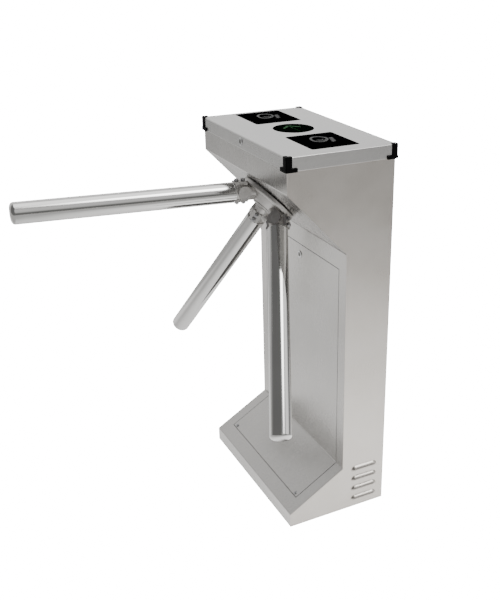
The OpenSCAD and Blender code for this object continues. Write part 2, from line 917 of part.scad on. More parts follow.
module shaft_nut() {
  color(dark) on_slope() difference() {
    translate([0, 0, nut_back]) cylinder(r = shaft_r + 6, h = nut_t, $fn = 6);
    disc(shaft_r + run, nut_back - 1, nut_back + nut_t + 1);
  }
}

// Mechanism that stands still

module frame_rails() {
  color(dark) on_slope() for (s = [-1, 1]) difference() {
    box(-inner, inner, s * rail_off - rail_w / 2, s * rail_off + rail_w / 2, plate_front, -sheet);
    box(-half, half, s * rail_off - rail_w / 2 + rail_wall, s * rail_off + rail_w / 2 - rail_wall,
        plate_front + rail_wall, -sheet - rail_wall);
    for (sx = [-1, 1]) translate([sx * plate_bolt_x, s * rail_off, 0])
      disc(plate_bolt_r + run, plate_front - 1, plate_front + rail_wall + 1);
  }
}

plate_bolt_x = 140;
plate_bolt_r = 4;
housing_bolt_r = 3;
housing_pcd_r = (housing_r + housing_flange_r) / 2;
housing_flange_t = 8;
module at_plate_bolts() {
  for (sx = [-1, 1], sy = [-1, 1]) translate([sx * plate_bolt_x, sy * rail_off, 0]) children();
}

module at_housing_bolts() {
  for (a = [45:90:315]) rotate([0, 0, a]) translate([housing_pcd_r, 0, 0]) children();
}

module mechanism_plate() {
  reach = rail_off + rail_w / 2;
  color(dark) on_slope() difference() {
    box(-plate_x / 2, plate_x / 2, -reach, reach, plate_back, plate_front);
    disc(housing_r + fit, plate_back - 1, plate_front + 1);
    at_plate_bolts() disc(plate_bolt_r + run, plate_back - 1, plate_front + 1);
    at_housing_bolts() disc(housing_bolt_r + run, plate_back - 1, plate_front + 1);
  }
}

module mechanism_bolts() {
  color(bright) on_slope() {
    at_plate_bolts() {
      disc(plate_bolt_r, plate_back - eps, plate_front + rail_wall + 2);
      translate([0, 0, plate_back - 5]) cylinder(r = 7, h = 5, $fn = 6);
    }
    at_housing_bolts() {
      disc(housing_bolt_r, plate_back - housing_flange_t - eps, plate_front);
      translate([0, 0, plate_back - housing_flange_t - 4]) cylinder(r = 5, h = 4, $fn = 6);
    }
  }
}

module bearing_housing() {
  color("slategray") on_slope() difference() {
    union() {
      disc(housing_r, housing_end, housing_front);
      disc(housing_flange_r, plate_back - housing_flange_t, plate_back);
    }
    disc(shaft_r + 4, housing_end - 1, housing_front + 1);
    disc(bearing_r + run, housing_front - bearing_w, housing_front + 1);
    disc(bearing_r + run, housing_end - 1, housing_end + bearing_w);
    at_housing_bolts() disc(housing_bolt_r + run, -2 * plate_x, plate_back + 1);
  }
}

// A sealed ball bearing from z0 up, with a groove between its rings on each face
module bearing(z0) {
  z1 = z0 + bearing_w;
  ring = (bearing_r - shaft_r) / 4;
  groove = 1;
  color(bright) rotate_extrude() polygon([
    [shaft_r + run, z0], [shaft_r + ring, z0], [shaft_r + ring, z0 + groove],
    [bearing_r - ring, z0 + groove], [bearing_r - ring, z0], [bearing_r, z0], [bearing_r, z1],
    [bearing_r - ring, z1], [bearing_r - ring, z1 - groove], [shaft_r + ring, z1 - groove],
    [shaft_r + ring, z1], [shaft_r + run, z1]]);
}

module shaft_bearings() {
  on_slope() {
    bearing(housing_front - bearing_w);
    bearing(housing_end);
  }
}

module stepped_post(x, y, shoulder_r, shoulder, end) {
  translate([x, y, 0]) {
    disc(shoulder_r, shoulder, plate_back);
    disc(post_r, end, shoulder + eps);
  }
}

module pivot_posts() {
  pawl_shoulder = disc_back + disc_t + 0.4;
  color(bright) on_slope() {
    for (s = [-1, 1]) stepped_post(s * pawl_x, pawl_y, 8, pawl_shoulder, disc_back - 3);
    stepped_post(lever_x, lever_y, coil_inside - fit, lever_front + 0.4, lever_back - 2);
  }
}

module at_solenoids() {
  for (s = [0, 1]) mirror([s, 0, 0]) translate([solenoid_x, plunger_y, pawl_mid]) children();
}

module solenoids() {
  end = 5;
  w = solenoid_h / 2;
  color("black") on_slope() at_solenoids() difference() {
    union() {
      box(0, end, -w, w, -w, w);
      box(solenoid_l - end, solenoid_l, -w, w, -w, w);
      rotate([0, 90, 0]) cylinder(r = w - 1, h = solenoid_l);
    }
    translate([-eps, 0, 0]) rotate([0, 90, 0]) cylinder(r = plunger_r + run, h = solenoid_l - end);
  }
}

module solenoid_brackets() {
  w = solenoid_h / 2;
  t = 3;
  foot = plate_back - pawl_mid;
  color(dark) on_slope() at_solenoids() {
    box(0, solenoid_l, -w, w, w, w + t);
    for (x = [0, solenoid_l - t]) box(x, x + t, -w, w, w, foot);
  }
}

module damper_bracket() {
  wall_y = pinion_y - damper_r - 10;
  side = damper_r + 5;
  color(dark) on_slope() difference() {
    union() {
      box(-side, side, wall_y, wall_y + bracket_t, bracket_back, plate_back);
      box(-side, side, wall_y, pinion_y + damper_r - 2, bracket_back, bracket_back + bracket_t);
    }
    translate([0, pinion_y, 0]) disc(damper_neck_r + fit, bracket_back - 1, bracket_back + 2 * bracket_t);
  }
}

damper_neck_r = 8;
module damper_body() {
  color("black") on_slope() translate([0, pinion_y, 0]) difference() {
    union() {
      disc(damper_r, bracket_back - damper_l, bracket_back);
      disc(damper_neck_r, bracket_back - eps, bracket_back + bracket_t);
    }
    disc(pinion_shaft_r + run, bracket_back - damper_l / 2, bracket_back + 2 * bracket_t);
  }
}

// A forked light barrier round the encoder disc's rim, on its own post
module encoder_sensor() {
  rim_y = -encoder_r - 8;
  color("black") on_slope() {
    box(-8, 8, rim_y - 5, rim_y, encoder_back - 3, plate_back);
    box(-6, 6, rim_y - 1, 10 - encoder_r, encoder_back - 3, encoder_back - 1);
    box(-6, 6, rim_y - 1, 10 - encoder_r, encoder_back + encoder_t + 1, encoder_back + encoder_t + 4);
  }
}

// Points of a coil of given turns, and the tube round them
function coil_point(a, rise) = [coil_r * cos(a), coil_r * sin(a), rise * a / 360];
function ring_points(a, rise, sides) =
  [for (j = [0:sides - 1]) let (b = 360 * j / sides)
    coil_point(a, rise) + wire_r * (cos(b) * [cos(a), sin(a), 0] + [0, 0, sin(b)])];

module centring_spring() {
  turns = 6;
  steps = coil_steps;
  sides = 6;
  rise = 2.6;
  rings = turns * steps + 1;
  points = [for (i = [0:rings - 1], p = ring_points(360 * i / steps, rise, sides)) p];
  walls = [for (i = [0:rings - 2], j = [0:sides - 1])
    let (a = i * sides + j, b = i * sides + (j + 1) % sides)
    each [[a, b, a + sides], [b, b + sides, a + sides]]];
  ends = [[for (j = [sides - 1:-1:0]) j], [for (j = [0:sides - 1]) (rings - 1) * sides + j]];
  color(dark) on_slope() translate([lever_x, lever_y, lever_front + 1 + wire_r + fit])
    mirror([0, 1, 0]) polyhedron(points, concat(walls, ends));
}

// What moves between the cabinet and the tripod

// The outline of the right-hand pawl with its tooth in a notch
module pawl_outline() {
  tooth = notch_w / 2 - 1.4;
  difference() {
    union() {
      translate([pawl_x, pawl_y]) circle(r = pawl_hub_r);
      polygon([[pawl_x - 8.5, pawl_y - 3], [pawl_x + 8.5, pawl_y + 5], [link_x + 6, pawl_y - 25],
               [link_x + 3, link_y - 4], [link_x - 3, link_y - 6], [disc_r + 5, -7], [disc_r + 1.5, -tooth - 0.8], [tip_x, -tooth],
               [tip_x, tooth], [disc_r + 1.5, tooth + 0.8], [disc_r + 4.5, 8],
               [disc_r + 4.5, 18], [disc_r, 32]]);
    }
    translate([pawl_x, pawl_y]) circle(r = post_r + run);
  }
}

module pawl(side) {
  color(bright) on_slope() mirror([side, 0, 0]) translate([pawl_x, pawl_y, 0])
    rotate([0, 0, pawl_swing]) translate([-pawl_x, -pawl_y, 0]) {
      translate([0, 0, pawl_mid - pawl_t / 2]) linear_extrude(pawl_t) pawl_outline();
      translate([link_x, link_y, 0]) disc(link_r, pawl_mid - 8.5, pawl_mid + 8.5);
    }
}

module pawl_entry() { pawl(0); }
module pawl_exit() { pawl(1); }

module plunger(side) {
  cheek = 9;
  bridge = link_rest[0] + 8;
  slot_h = abs(link_rest[1] - link_y) / 2 + link_r + fit;
  inside = pawl_t / 2 + 0.8;
  outside = pawl_t / 2 + 4;
  color(bright) on_slope() mirror([side, 0, 0]) translate([0, plunger_y, pawl_mid]) {
    difference() {
      union() {
        for (s = [-1, 1]) box(link_rest[0] - 7, bridge + 3, -cheek, cheek, min(s * inside, s * outside),
                              max(s * inside, s * outside));
        box(bridge, bridge + 3, -cheek, cheek, -outside, outside);
      }
      box(link_rest[0] - link_r - fit, link_rest[0] + link_r + fit, -slot_h, slot_h, -20, 20);
    }
    translate([bridge + 3 - eps, 0, 0]) rotate([0, 90, 0])
      cylinder(r = plunger_r, h = solenoid_x + 28 - bridge);
  }
}

module plunger_entry() { plunger(0); }
module plunger_exit() { plunger(1); }

module centring_lever() {
  arm = [-lever_x, roller_y - lever_y];
  color(dark) on_slope() translate([lever_x, lever_y, 0]) {
    translate([0, 0, lever_back]) linear_extrude(lever_t) difference() {
      union() {
        circle(r = 10);
        translate(arm) circle(r = 7);
        rotate(atan2(arm[1], arm[0])) translate([0, -6]) square([norm(arm), 12]);
      }
      circle(r = post_r + run);
    }
    translate([arm[0], arm[1], 0]) disc(roller_pin_r, lever_front - eps, lever_front + roller_w + 0.8);
  }
}

module centring_roller() {
  color(bright) on_slope() translate([0, roller_y, 0])
    tube(roller_r, roller_pin_r + run, lever_front + 0.4, lever_front + 0.4 + roller_w - 0.4);
}

module damper_pinion() {
  color(brass) on_slope() translate([0, pinion_y, 0]) {
    translate([0, 0, gear_back]) rotate([0, 0, 90 + 180 / pinion_z]) linear_extrude(gear_w)
      gear_outline(pinion_z, 0.9);
    disc(pinion_shaft_r, bracket_back - damper_l / 2 + 1, gear_back + eps);
  }
}

// Electrics

module control_board() {
  y1 = back_y - sheet - standoff;
  y0 = y1 - 1.6;
  bay = board_x / 8;
  block = bay * 0.85;
  color("seagreen") translate([0, 0, board_up]) {
    box(-board_x / 2, board_x / 2, y0, y1, -board_z / 2, board_z / 2);
    for (i = [0:5]) translate([(i + 0.75) * bay - board_x / 2, 0, 0])
      box(0, block, y0 - 12, y0 + eps, block / 6 - board_z / 2, block - board_z / 2);
    for (i = [0:2]) translate([(i * 1.15 + 0.85) * bay - board_x / 2, 0, 0])
      box(0, block, y0 - 16, y0 + eps, block / 4, block);
    box(board_x / 2 - 2 * bay, board_x / 2 - block, y0 - 2, y0 + eps, -block / 2, block);
    for (i = [1:2]) translate([board_x / 2 - i * bay, y0 + eps, board_z / 2 - block])
      rotate([90, 0, 0]) cylinder(r = block * 0.45, h = 20);
  }
}

module at_standoffs(w, h, up) {
  for (sx = [-1, 1], sz = [-1, 1])
    translate([sx * (w / 2 - 8), back_y - sheet, up + sz * (h / 2 - 8)]) rotate([90, 0, 0])
      children();
}

module board_standoffs() {
  color(brass) {
    at_standoffs(board_x, board_z, board_up) cylinder(r = 3, h = standoff);
    at_standoffs(supply_x, supply_z, supply_up) cylinder(r = 3, h = standoff);
  }
}

module power_supply() {
  y1 = back_y - sheet - standoff;
  wall = 1.5;
  color("lightgray") translate([0, 0, supply_up]) difference() {
    box(-supply_x / 2, supply_x / 2, y1 - supply_y, y1, -supply_z / 2, supply_z / 2);
    for (i = [0:8]) translate([(i - 4) * supply_x / 12, 0, 0])
      box(-2, 2, y1 - supply_y - 1, y1 - supply_y + wall, -supply_z * 0.36, supply_z * 0.36);
  }
}

end_plate_left();
end_plate_right();
rear_panel();
head_panel();
door_frame();
cover_rim();
access_cover();
cover_screws();
base_plate();
frame_rails();
mechanism_plate();
mechanism_bolts();
bearing_housing();
shaft_bearings();
pivot_posts();
solenoids();
solenoid_brackets();
damper_bracket();
damper_body();
encoder_sensor();
centring_spring();
control_board();
board_standoffs();
power_supply();
cabinet_hinge_leaf();
hinge_pin();
cover_lock_body();
top_lid();
corner_caps();
reader_windows();
indicator_lens();
reader_modules();
indicator_board();
lid_lock_body();
lid_hinge_leaf();
lid_lock_plug();
cover_lock_plug();
hub_flange();
hub_casting();
hub_cap();
hub_bolt();
arm_tube_1();
arm_tube_2();
arm_tube_3();
arm_root_plugs();
arm_bolts();
arm_tip_caps();
main_shaft();
locking_disc();
pin_wheel();
encoder_disc();
drive_gear();
shaft_nut();
pawl_entry();
pawl_exit();
plunger_entry();
plunger_exit();
centring_lever();
centring_roller();
damper_pinion();
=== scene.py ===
"""Looks of a waist-high tripod turnstile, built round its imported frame."""

import json
import logging
import math
from collections.abc import Sequence
from dataclasses import dataclass
from enum import Enum
from functools import lru_cache
from typing import Any

import bmesh
import bpy
from mathutils import Matrix, Vector

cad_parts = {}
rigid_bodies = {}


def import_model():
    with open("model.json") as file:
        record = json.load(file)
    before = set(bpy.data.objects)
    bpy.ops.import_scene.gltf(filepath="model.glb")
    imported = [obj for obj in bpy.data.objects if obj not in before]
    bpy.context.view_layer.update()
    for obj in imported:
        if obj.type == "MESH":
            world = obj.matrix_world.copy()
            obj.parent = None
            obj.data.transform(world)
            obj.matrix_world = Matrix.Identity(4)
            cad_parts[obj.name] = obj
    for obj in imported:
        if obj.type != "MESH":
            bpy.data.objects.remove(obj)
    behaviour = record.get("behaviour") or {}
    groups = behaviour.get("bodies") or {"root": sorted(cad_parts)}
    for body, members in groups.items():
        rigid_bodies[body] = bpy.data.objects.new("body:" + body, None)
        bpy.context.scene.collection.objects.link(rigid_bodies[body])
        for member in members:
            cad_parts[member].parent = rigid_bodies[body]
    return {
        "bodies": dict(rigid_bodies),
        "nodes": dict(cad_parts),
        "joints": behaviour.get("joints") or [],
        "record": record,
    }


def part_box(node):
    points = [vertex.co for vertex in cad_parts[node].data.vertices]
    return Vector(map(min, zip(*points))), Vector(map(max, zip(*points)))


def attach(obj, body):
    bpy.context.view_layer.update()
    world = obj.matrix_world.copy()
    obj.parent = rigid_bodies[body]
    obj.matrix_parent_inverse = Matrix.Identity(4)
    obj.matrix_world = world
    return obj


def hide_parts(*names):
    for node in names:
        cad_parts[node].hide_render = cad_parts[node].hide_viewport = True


log = logging.getLogger("turnstile")
MM = 0.001
# When two corners are one, when two faces are one, and when an edge is drawn sharp.
SAME_PLACE = 1e-6
SAME_PLANE = math.radians(0.5)
SHARP = math.radians(32)
# Share of the fine grain beside the blotches, and the range that their sum keeps to.
GRAIN_SHARE = 0.5
NOISE_RANGE = (0.45, 1.05)
BLOTCH_STOPS = (0.3, 0.7)
BUMP_STRENGTH = 0.6
COAT_ROUGHNESS = 0.05
ORIGIN = (0.0, 0.0, 0.0)
WHITE = "#FFFFFF"
Profile = Sequence[tuple[float, float]]
Settings = dict[str, Any] | None
Inputs = dict[str | int, Any] | None


def linear(colour: str) -> tuple[float, float, float, float]:
    """Turns an sRGB hex colour into Blender's linear one.

    Args:
        colour: Six hex digits after a hash.

    Returns:
        Linear red, green and blue with full alpha.
    """
    values = [int(colour[i : i + 2], 16) / 255 for i in (1, 3, 5)]
    flat = [v / 12.92 if v <= 0.04045 else ((v + 0.055) / 1.055) ** 2.4 for v in values]
    return flat[0], flat[1], flat[2], 1.0


def add_node(
    tree: bpy.types.NodeTree, kind: str, settings: Settings = None, inputs: Inputs = None
) -> bpy.types.Node:
    """Adds a node with its settings and links.

    Args:
        tree: Tree that gets the node.
        kind: Blender's name for the node's type.
        settings: Attributes of the node.
        inputs: Values for its sockets, or the sockets that feed them.

    Returns:
        The new node.
    """
    node = tree.nodes.new(kind)
    for key, value in (settings or {}).items():
        setattr(node, key, value)
    for key, value in (inputs or {}).items():
        socket = node.inputs[key]
        if isinstance(value, bpy.types.NodeSocket):
            tree.links.new(value, socket)
        else:
            socket.default_value = value
    return node


class Run(Enum):
    """Direction that a brushed surface's lines run in."""

    LENGTH = 0
    HEIGHT = 2


@dataclass(frozen=True)
class Finish:
    """A procedural material with a noise of its own scale.

    Attributes:
        name: Material's name.
        colour: Its main colour, as sRGB hex.
        shade: Colour of its blotches.
        roughness: Its middle roughness.
        swing: How far the roughness goes to either side.
        grain_mm: Width of a grain.
        depth_mm: Depth of the grain.
        blotch_mm: Width of a blotch.
    """

    name: str
    colour: str
    shade: str
    roughness: float
    swing: float = 0.05
    grain_mm: float = 1.5
    depth_mm: float = 0.01
    blotch_mm: float = 90.0

    def start(self) -> tuple[bpy.types.Material, bpy.types.NodeTree, bpy.types.Node]:
        """Makes an empty material with a plain shader.

        Returns:
            The material, its tree and its shader.
        """
        made = bpy.data.materials.new(self.name)
        made.use_nodes = True
        tree = made.node_tree
        tree.nodes.clear()
        shader = add_node(tree, "ShaderNodeBsdfPrincipled")
        add_node(tree, "ShaderNodeOutputMaterial", inputs={"Surface": shader.outputs["BSDF"]})
        shader.inputs["Roughness"].default_value = self.roughness
        return made, tree, shader

    def scale(self) -> tuple[float, float, float]:
        """Gives the grain's count per metre along each axis."""
        count = 1 / (self.grain_mm * MM)
        return count, count, count

    def texture(self, tree: bpy.types.NodeTree, shader: bpy.types.Node) -> None:
        """Links the grain to roughness and bump, and blotches to the colour.

        Args:
            tree: Material's tree.
            shader: Its shader.
        """
        place = add_node(tree, "ShaderNodeTexCoord").outputs["Object"]
        mapped = add_node(
            tree, "ShaderNodeMapping", inputs={"Vector": place, "Scale": self.scale()}
        )
        noises = []
        for vector, count, detail in (
            (mapped.outputs["Vector"], 1.0, 3.0),
            (place, 1 / (self.blotch_mm * MM), 2.0),
        ):
            inputs = {"Vector": vector, "Scale": count, "Detail": detail}
            noises.append(add_node(tree, "ShaderNodeTexNoise", inputs=inputs).outputs["Fac"])
        grain, blotch = noises
        both = add_node(
            tree,
            "ShaderNodeMath",
            {"operation": "MULTIPLY_ADD"},
            {0: grain, 1: GRAIN_SHARE, 2: blotch},
        )
        rough = add_node(
            tree,
            "ShaderNodeMapRange",
            inputs={
                "Value": both.outputs["Value"],
                "From Min": NOISE_RANGE[0],
                "From Max": NOISE_RANGE[1],
                "To Min": self.roughness - self.swing,
                "To Max": self.roughness + self.swing,
            },
        )
        bump = add_node(
            tree,
            "ShaderNodeBump",
            inputs={
                "Height": grain,
                "Strength": BUMP_STRENGTH,
                "Distance": self.depth_mm * MM,
            },
        )
        tree.links.new(rough.outputs["Result"], shader.inputs["Roughness"])
        tree.links.new(bump.outputs["Normal"], shader.inputs["Normal"])
        blend = add_node(tree, "ShaderNodeValToRGB", inputs={"Fac": blotch})
        colours = (self.shade, self.colour)
        for stop, at, colour in zip(blend.color_ramp.elements, BLOTCH_STOPS, colours):
            stop.position = at
            stop.color = linear(colour)
        tree.links.new(blend.outputs["Color"], shader.inputs["Base Color"])

    def tune(self, shader: bpy.types.Node) -> None:
        """Sets what is the same all over the surface, beside the colour and roughness.

        Args:
            shader: Material's shader.
        """

    def make(self) -> bpy.types.Material:
        """Makes the material.

        Returns:
            The finished material.
        """
        made, tree, shader = self.start()
        self.tune(shader)
        self.texture(tree, shader)
        return made


@dataclass(frozen=True)
class Metal(Finish):
    """A bare or plated metal."""

    def tune(self, shader: bpy.types.Node) -> None:
        """Makes the shader metallic."""
        shader.inputs["Metallic"].default_value = 1.0


@dataclass(frozen=True)
class Brushed(Metal):
    """A metal that a belt has brushed along one direction."""

    run: Run = Run.HEIGHT
    stretch: float = 60.0

    def scale(self) -> tuple[float, float, float]:
        """Gives the lines' count per metre along each axis.

        Returns:
            Counts along X, Y and Z, fewer along the lines' run.
        """
        count = [1 / (self.grain_mm * MM)] * 3
        count[self.run.value] /= self.stretch
        return count[0], count[1], count[2]


@dataclass(frozen=True)
class Plastic(Finish):
    """A moulded plastic, rubber or paint, with an optional clear coat."""

    coat: float = 0.0
    ior: float = 1.5
    shine: float = 0.5

    def tune(self, shader: bpy.types.Node) -> None:
        """Sets the shine and the coat.

        Args:
            shader: Material's shader.
        """
        shader.inputs["IOR"].default_value = self.ior
        shader.inputs["Specular IOR Level"].default_value = self.shine
        shader.inputs["Coat Weight"].default_value = self.coat
        shader.inputs["Coat Roughness"].default_value = COAT_ROUGHNESS


@dataclass(frozen=True)
class Lamp(Plastic):
    """A light-emitting diode's tinted resin, lit or unlit."""

    glow: float = 0.0

    def tune(self, shader: bpy.types.Node) -> None:
        """Sets the shine and the glow.

        Args:
            shader: Material's shader.
        """
        super().tune(shader)
        shader.inputs["Emission Color"].default_value = linear(self.colour)
        shader.inputs["Emission Strength"].default_value = self.glow


# Stainless 304 sheet, brushed on a belt: satin, with soft reflections drawn out along the lines.
# The real lines are about 0.1 mm apart, and are drawn coarser so that they show.
FRONT_STEEL = Brushed(
    "brushed_304_front", "#C6C4C1", "#BFBDBA", 0.26, grain_mm=1.2, depth_mm=0.012
)
END_STEEL = Brushed(
    "brushed_304_end", "#CCC7C1", "#C4BFB8", 0.31, grain_mm=1.2, depth_mm=0.012
)
LID_STEEL = Brushed(
    "brushed_304_lid", "#CBCAC8", "#C4C3C1", 0.30, grain_mm=1.2, depth_mm=0.012, run=Run.LENGTH
)
# Stainless tube after a polishing mop: a soft mirror with faint haze.
MOPPED_STEEL = Metal(
    "mop_polished_304_tube", "#DAD9D7", "#D3D2D0", 0.1, 0.03, grain_mm=3.0, depth_mm=0.002
)
# Investment-cast stainless, tumbled: bright with a fine pebbled skin.
CAST_STEEL = Metal(
    "tumbled_cast_316", "#C6C4C1", "#B4B2AF", 0.36, 0.05, grain_mm=1.6, depth_mm=0.012, blotch_mm=25
)
# Bead-blasted stainless plate: pale and dull, with a wide soft sheen.
FLANGE_STEEL = Metal(
    "bead_blasted_304", "#D2D0CD", "#C8C6C3", 0.44, 0.04, grain_mm=0.9, depth_mm=0.012, blotch_mm=30
)
# Turned steel: a bright satin face.
TURNED_STEEL = Metal(
    "turned_steel", "#B9B9BA", "#A9A9AA", 0.24, 0.06, grain_mm=0.8, depth_mm=0.01, blotch_mm=20
)
# Hardened steel with a black oxide: dark, with an oily sheen.
OXIDE_STEEL = Metal(
    "black_oxide_steel", "#4A4A4B", "#3A3A3B", 0.38, 0.08, grain_mm=1.0, depth_mm=0.01, blotch_mm=15
)
# Bright zinc plate on pressed steel: pale, blotchy and slightly blue.
ZINC_STEEL = Metal(
    "bright_zinc_plate", "#B4B8BA", "#9AA0A2", 0.36, 0.1, grain_mm=6.0, depth_mm=0.02, blotch_mm=18
)
# Nickel plate gone dull, on the locks' plugs.
DULL_NICKEL = Metal(
    "dull_nickel_plate", "#8C8B88", "#7C7B78", 0.4, 0.06, grain_mm=0.8, depth_mm=0.02, blotch_mm=6
)
# Brass cut on a mill: warm yellow, with clean bright faces.
BRASS = Metal("machined_brass", "#C9A35A", "#B58F49", 0.28, 0.06, grain_mm=0.8, depth_mm=0.01)
# Chrome on cast zinc: a clear mirror.
CHROME = Metal("chrome_plated_zinc", "#DADADB", "#CFCFD0", 0.1, 0.03, grain_mm=2.0, depth_mm=0.002)
# Aluminium sheet pressed to a case: pale, with a plain dull sheen.
TIN_CASE = Metal("pressed_aluminium", "#B7B9BB", "#A8AAAC", 0.34, 0.06, grain_mm=2.0, depth_mm=0.01)
# Hammered machinery paint over cast iron: a grey-green skin with a dull gloss.
IRON_PAINT = Plastic(
    "machinery_paint", "#4B545A", "#434B50", 0.45, 0.08, grain_mm=3.0, depth_mm=0.08, coat=0.2
)
# Moulded ABS with a spark-eroded texture: black, with a soft broken gloss.
BLACK_ABS = Plastic(
    "moulded_black_abs", "#060607", "#09090A", 0.5, 0.08, grain_mm=0.9, depth_mm=0.03, shine=0.05
)
# Foamed rubber strip behind the cover's edge: matt, and dark as painted shade, so that the joint
# reads as a shaded line.
JOINT_SHADE_RUBBER = Plastic(
    "rubber_strip_painted_joint_shade", "#262626", "#303030", 0.85, 0.05, grain_mm=1.0, depth_mm=0.1, shine=0.1
)
# Anti-glare acrylic over black print: it gives back next to no light, and is deep black.
BLACK_ACRYLIC = Plastic(
    "anti_glare_acrylic", "#020203", "#040405", 0.3, 0.04, grain_mm=3.0, depth_mm=0.002, shine=0.0
)
# Screen-printed ink: flat and slightly chalky.
GREY_INK = Plastic(
    "screen_print_ink", "#646464", "#525252", 0.6, grain_mm=0.6, depth_mm=0.004, shine=0.05
)
# Tinted resin of green diodes: the lit ones glow a little, the unlit ones are nearly black.
LIT_RESIN = Lamp("lit_green_led", "#1E5A2C", "#17481F", 0.35, grain_mm=1.0, shine=0.02, glow=0.35)
DARK_RESIN = Lamp("unlit_green_led", "#0B200F", "#07140A", 0.4, grain_mm=1.0, shine=0.0)
# Epoxy glass board under a green solder mask: glossy, with copper pours that show as patches.
BOARD_MASK = Plastic(
    "solder_mask_fr4", "#0F5A34", "#0A4024", 0.3, 0.08, grain_mm=5.0, depth_mm=0.03, blotch_mm=7
)
# Polyester tape round coils and cases: dark grey, with a thin gloss.
COIL_TAPE = Plastic(
    "polyester_coil_tape", "#16181B", "#101215", 0.35, 0.06, grain_mm=2.5, depth_mm=0.03, coat=0.3
)


@lru_cache(maxsize=None)
def material(finish: Finish) -> bpy.types.Material:
    """Makes each finish's material once."""
    return finish.make()


@dataclass(frozen=True)
class Frame:
    """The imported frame, with the body and the slot of each node."""

    nodes: dict[str, bpy.types.Object]
    body_of: dict[str, str]
    slot_of: dict[str, str]

    @classmethod
    def load(cls) -> "Frame":
        """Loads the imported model.

        Returns:
            The frame.
        """
        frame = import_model()
        record = frame["record"]
        bodies = record["behaviour"]["bodies"]
        return cls(
            frame["nodes"],
            {node: body for body, held in bodies.items() for node in held},
            {s["node"]: s["material_slot"] for s in record["subparts"]},
        )


def show(mesh: bpy.types.Mesh, finish: Finish) -> bpy.types.Object:
    """Puts a mesh into the scene as a piece of the same name.

    Args:
        mesh: Piece's mesh.
        finish: Its finish.

    Returns:
        The piece.
    """
    made = bpy.data.objects.new(mesh.name, mesh)
    bpy.context.scene.collection.objects.link(made)
    mesh.materials.clear()
    mesh.materials.append(material(finish))
    return made


def settle(made: bpy.types.Object, body: str, slot: str, *nodes: str) -> None:
    """Ties a finished piece to its body, and hides the nodes that it stands for.

    Args:
        made: Finished piece.
        body: Body that it rides on.
        slot: Material slot in the record; not used.
        nodes: CAD nodes that it stands for.
    """
    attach(made, body)
    if nodes:
        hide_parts(*nodes)
    log.info("%s: %d faces on %s", made.name, len(made.data.polygons), body)


def new_piece(name: str, bm: bmesh.types.BMesh, finish: Finish) -> bpy.types.Object:
    """Turns a bmesh into a smooth-shaded piece at the origin.

    Args:
        name: Piece's name.
        bm: Its mesh, which is freed.
        finish: Its finish.

    Returns:
        The piece.
    """
    mesh = bpy.data.meshes.new(name)
    bm.to_mesh(mesh)
    bm.free()
    mesh.shade_smooth()
    mesh.set_sharp_from_angle(angle=SHARP)
    return show(mesh, finish)


@dataclass(frozen=True)
class Rounding:
    """How far a copy of a CAD solid is rounded.

    Attributes:
        edge: Radius of its edges.
        fold: Radius of its long folds.
        least: Least angle of an edge that is rounded, in degrees.
        rim: Radius of the border at its top.
        hem: Radius of the border at its foot.
    """

    edge: float = 0.35 * MM
    fold: float = 0.0
    least: float = 50.0
    rim: float = 0.0
    hem: float = 0.0


# Largest area of a folded sheet's cut end, and least width of a rounded border's faces in radii.
SHEET_END = 1000 * MM * MM
LEAST_WIDTH = 1.2
# Least angle of a box's border, and the angles and the least length of a sheet's folds.
BORDER_ANGLE = math.radians(60)
FOLD_ANGLES = (math.radians(12), math.radians(80))
FOLD_LENGTH = 0.1


def round_border(
    bm: bmesh.types.BMesh,
    low: Sequence[float],
    high: Sequence[float],
    height: float,
    radius: float,
    near: float = 0.05 * MM,
    shortest: float = 10 * MM,
) -> None:
    """Rounds a box's outer border at one height, as a folded sheet's is.

    A side whose faces are too narrow for the radius, like a cut sheet's edge, stays as it is.

    Args:
        bm: Mesh that is changed.
        low: Lowest corner of its box.
        high: Highest corner of its box.
        height: Height of the border.
        radius: How far it is rounded.
        near: How far a corner may be off the border.
        shortest: Length of the shortest edge that is rounded.
    """
    picks = []
    for edge in bm.edges:
        length = edge.calc_length()
        if not edge.is_manifold or length < shortest:
            continue
        if min(face.calc_area() for face in edge.link_faces) < LEAST_WIDTH * radius * length:
            continue
        ends = [v.co for v in edge.verts]
        level = all(abs(p.z - height) < near for p in ends)
        outer = any(
            all(abs(p[axis] - side[axis]) < near for p in ends)
            for side in (low, high)
            for axis in (0, 1)
        )
        if level and outer and edge.calc_face_angle() > BORDER_ANGLE:
            picks.append(edge)
    bmesh.ops.bevel(
        bm, geom=picks, offset=radius, segments=5, profile=0.5, affect="EDGES", clamp_overlap=True
    )


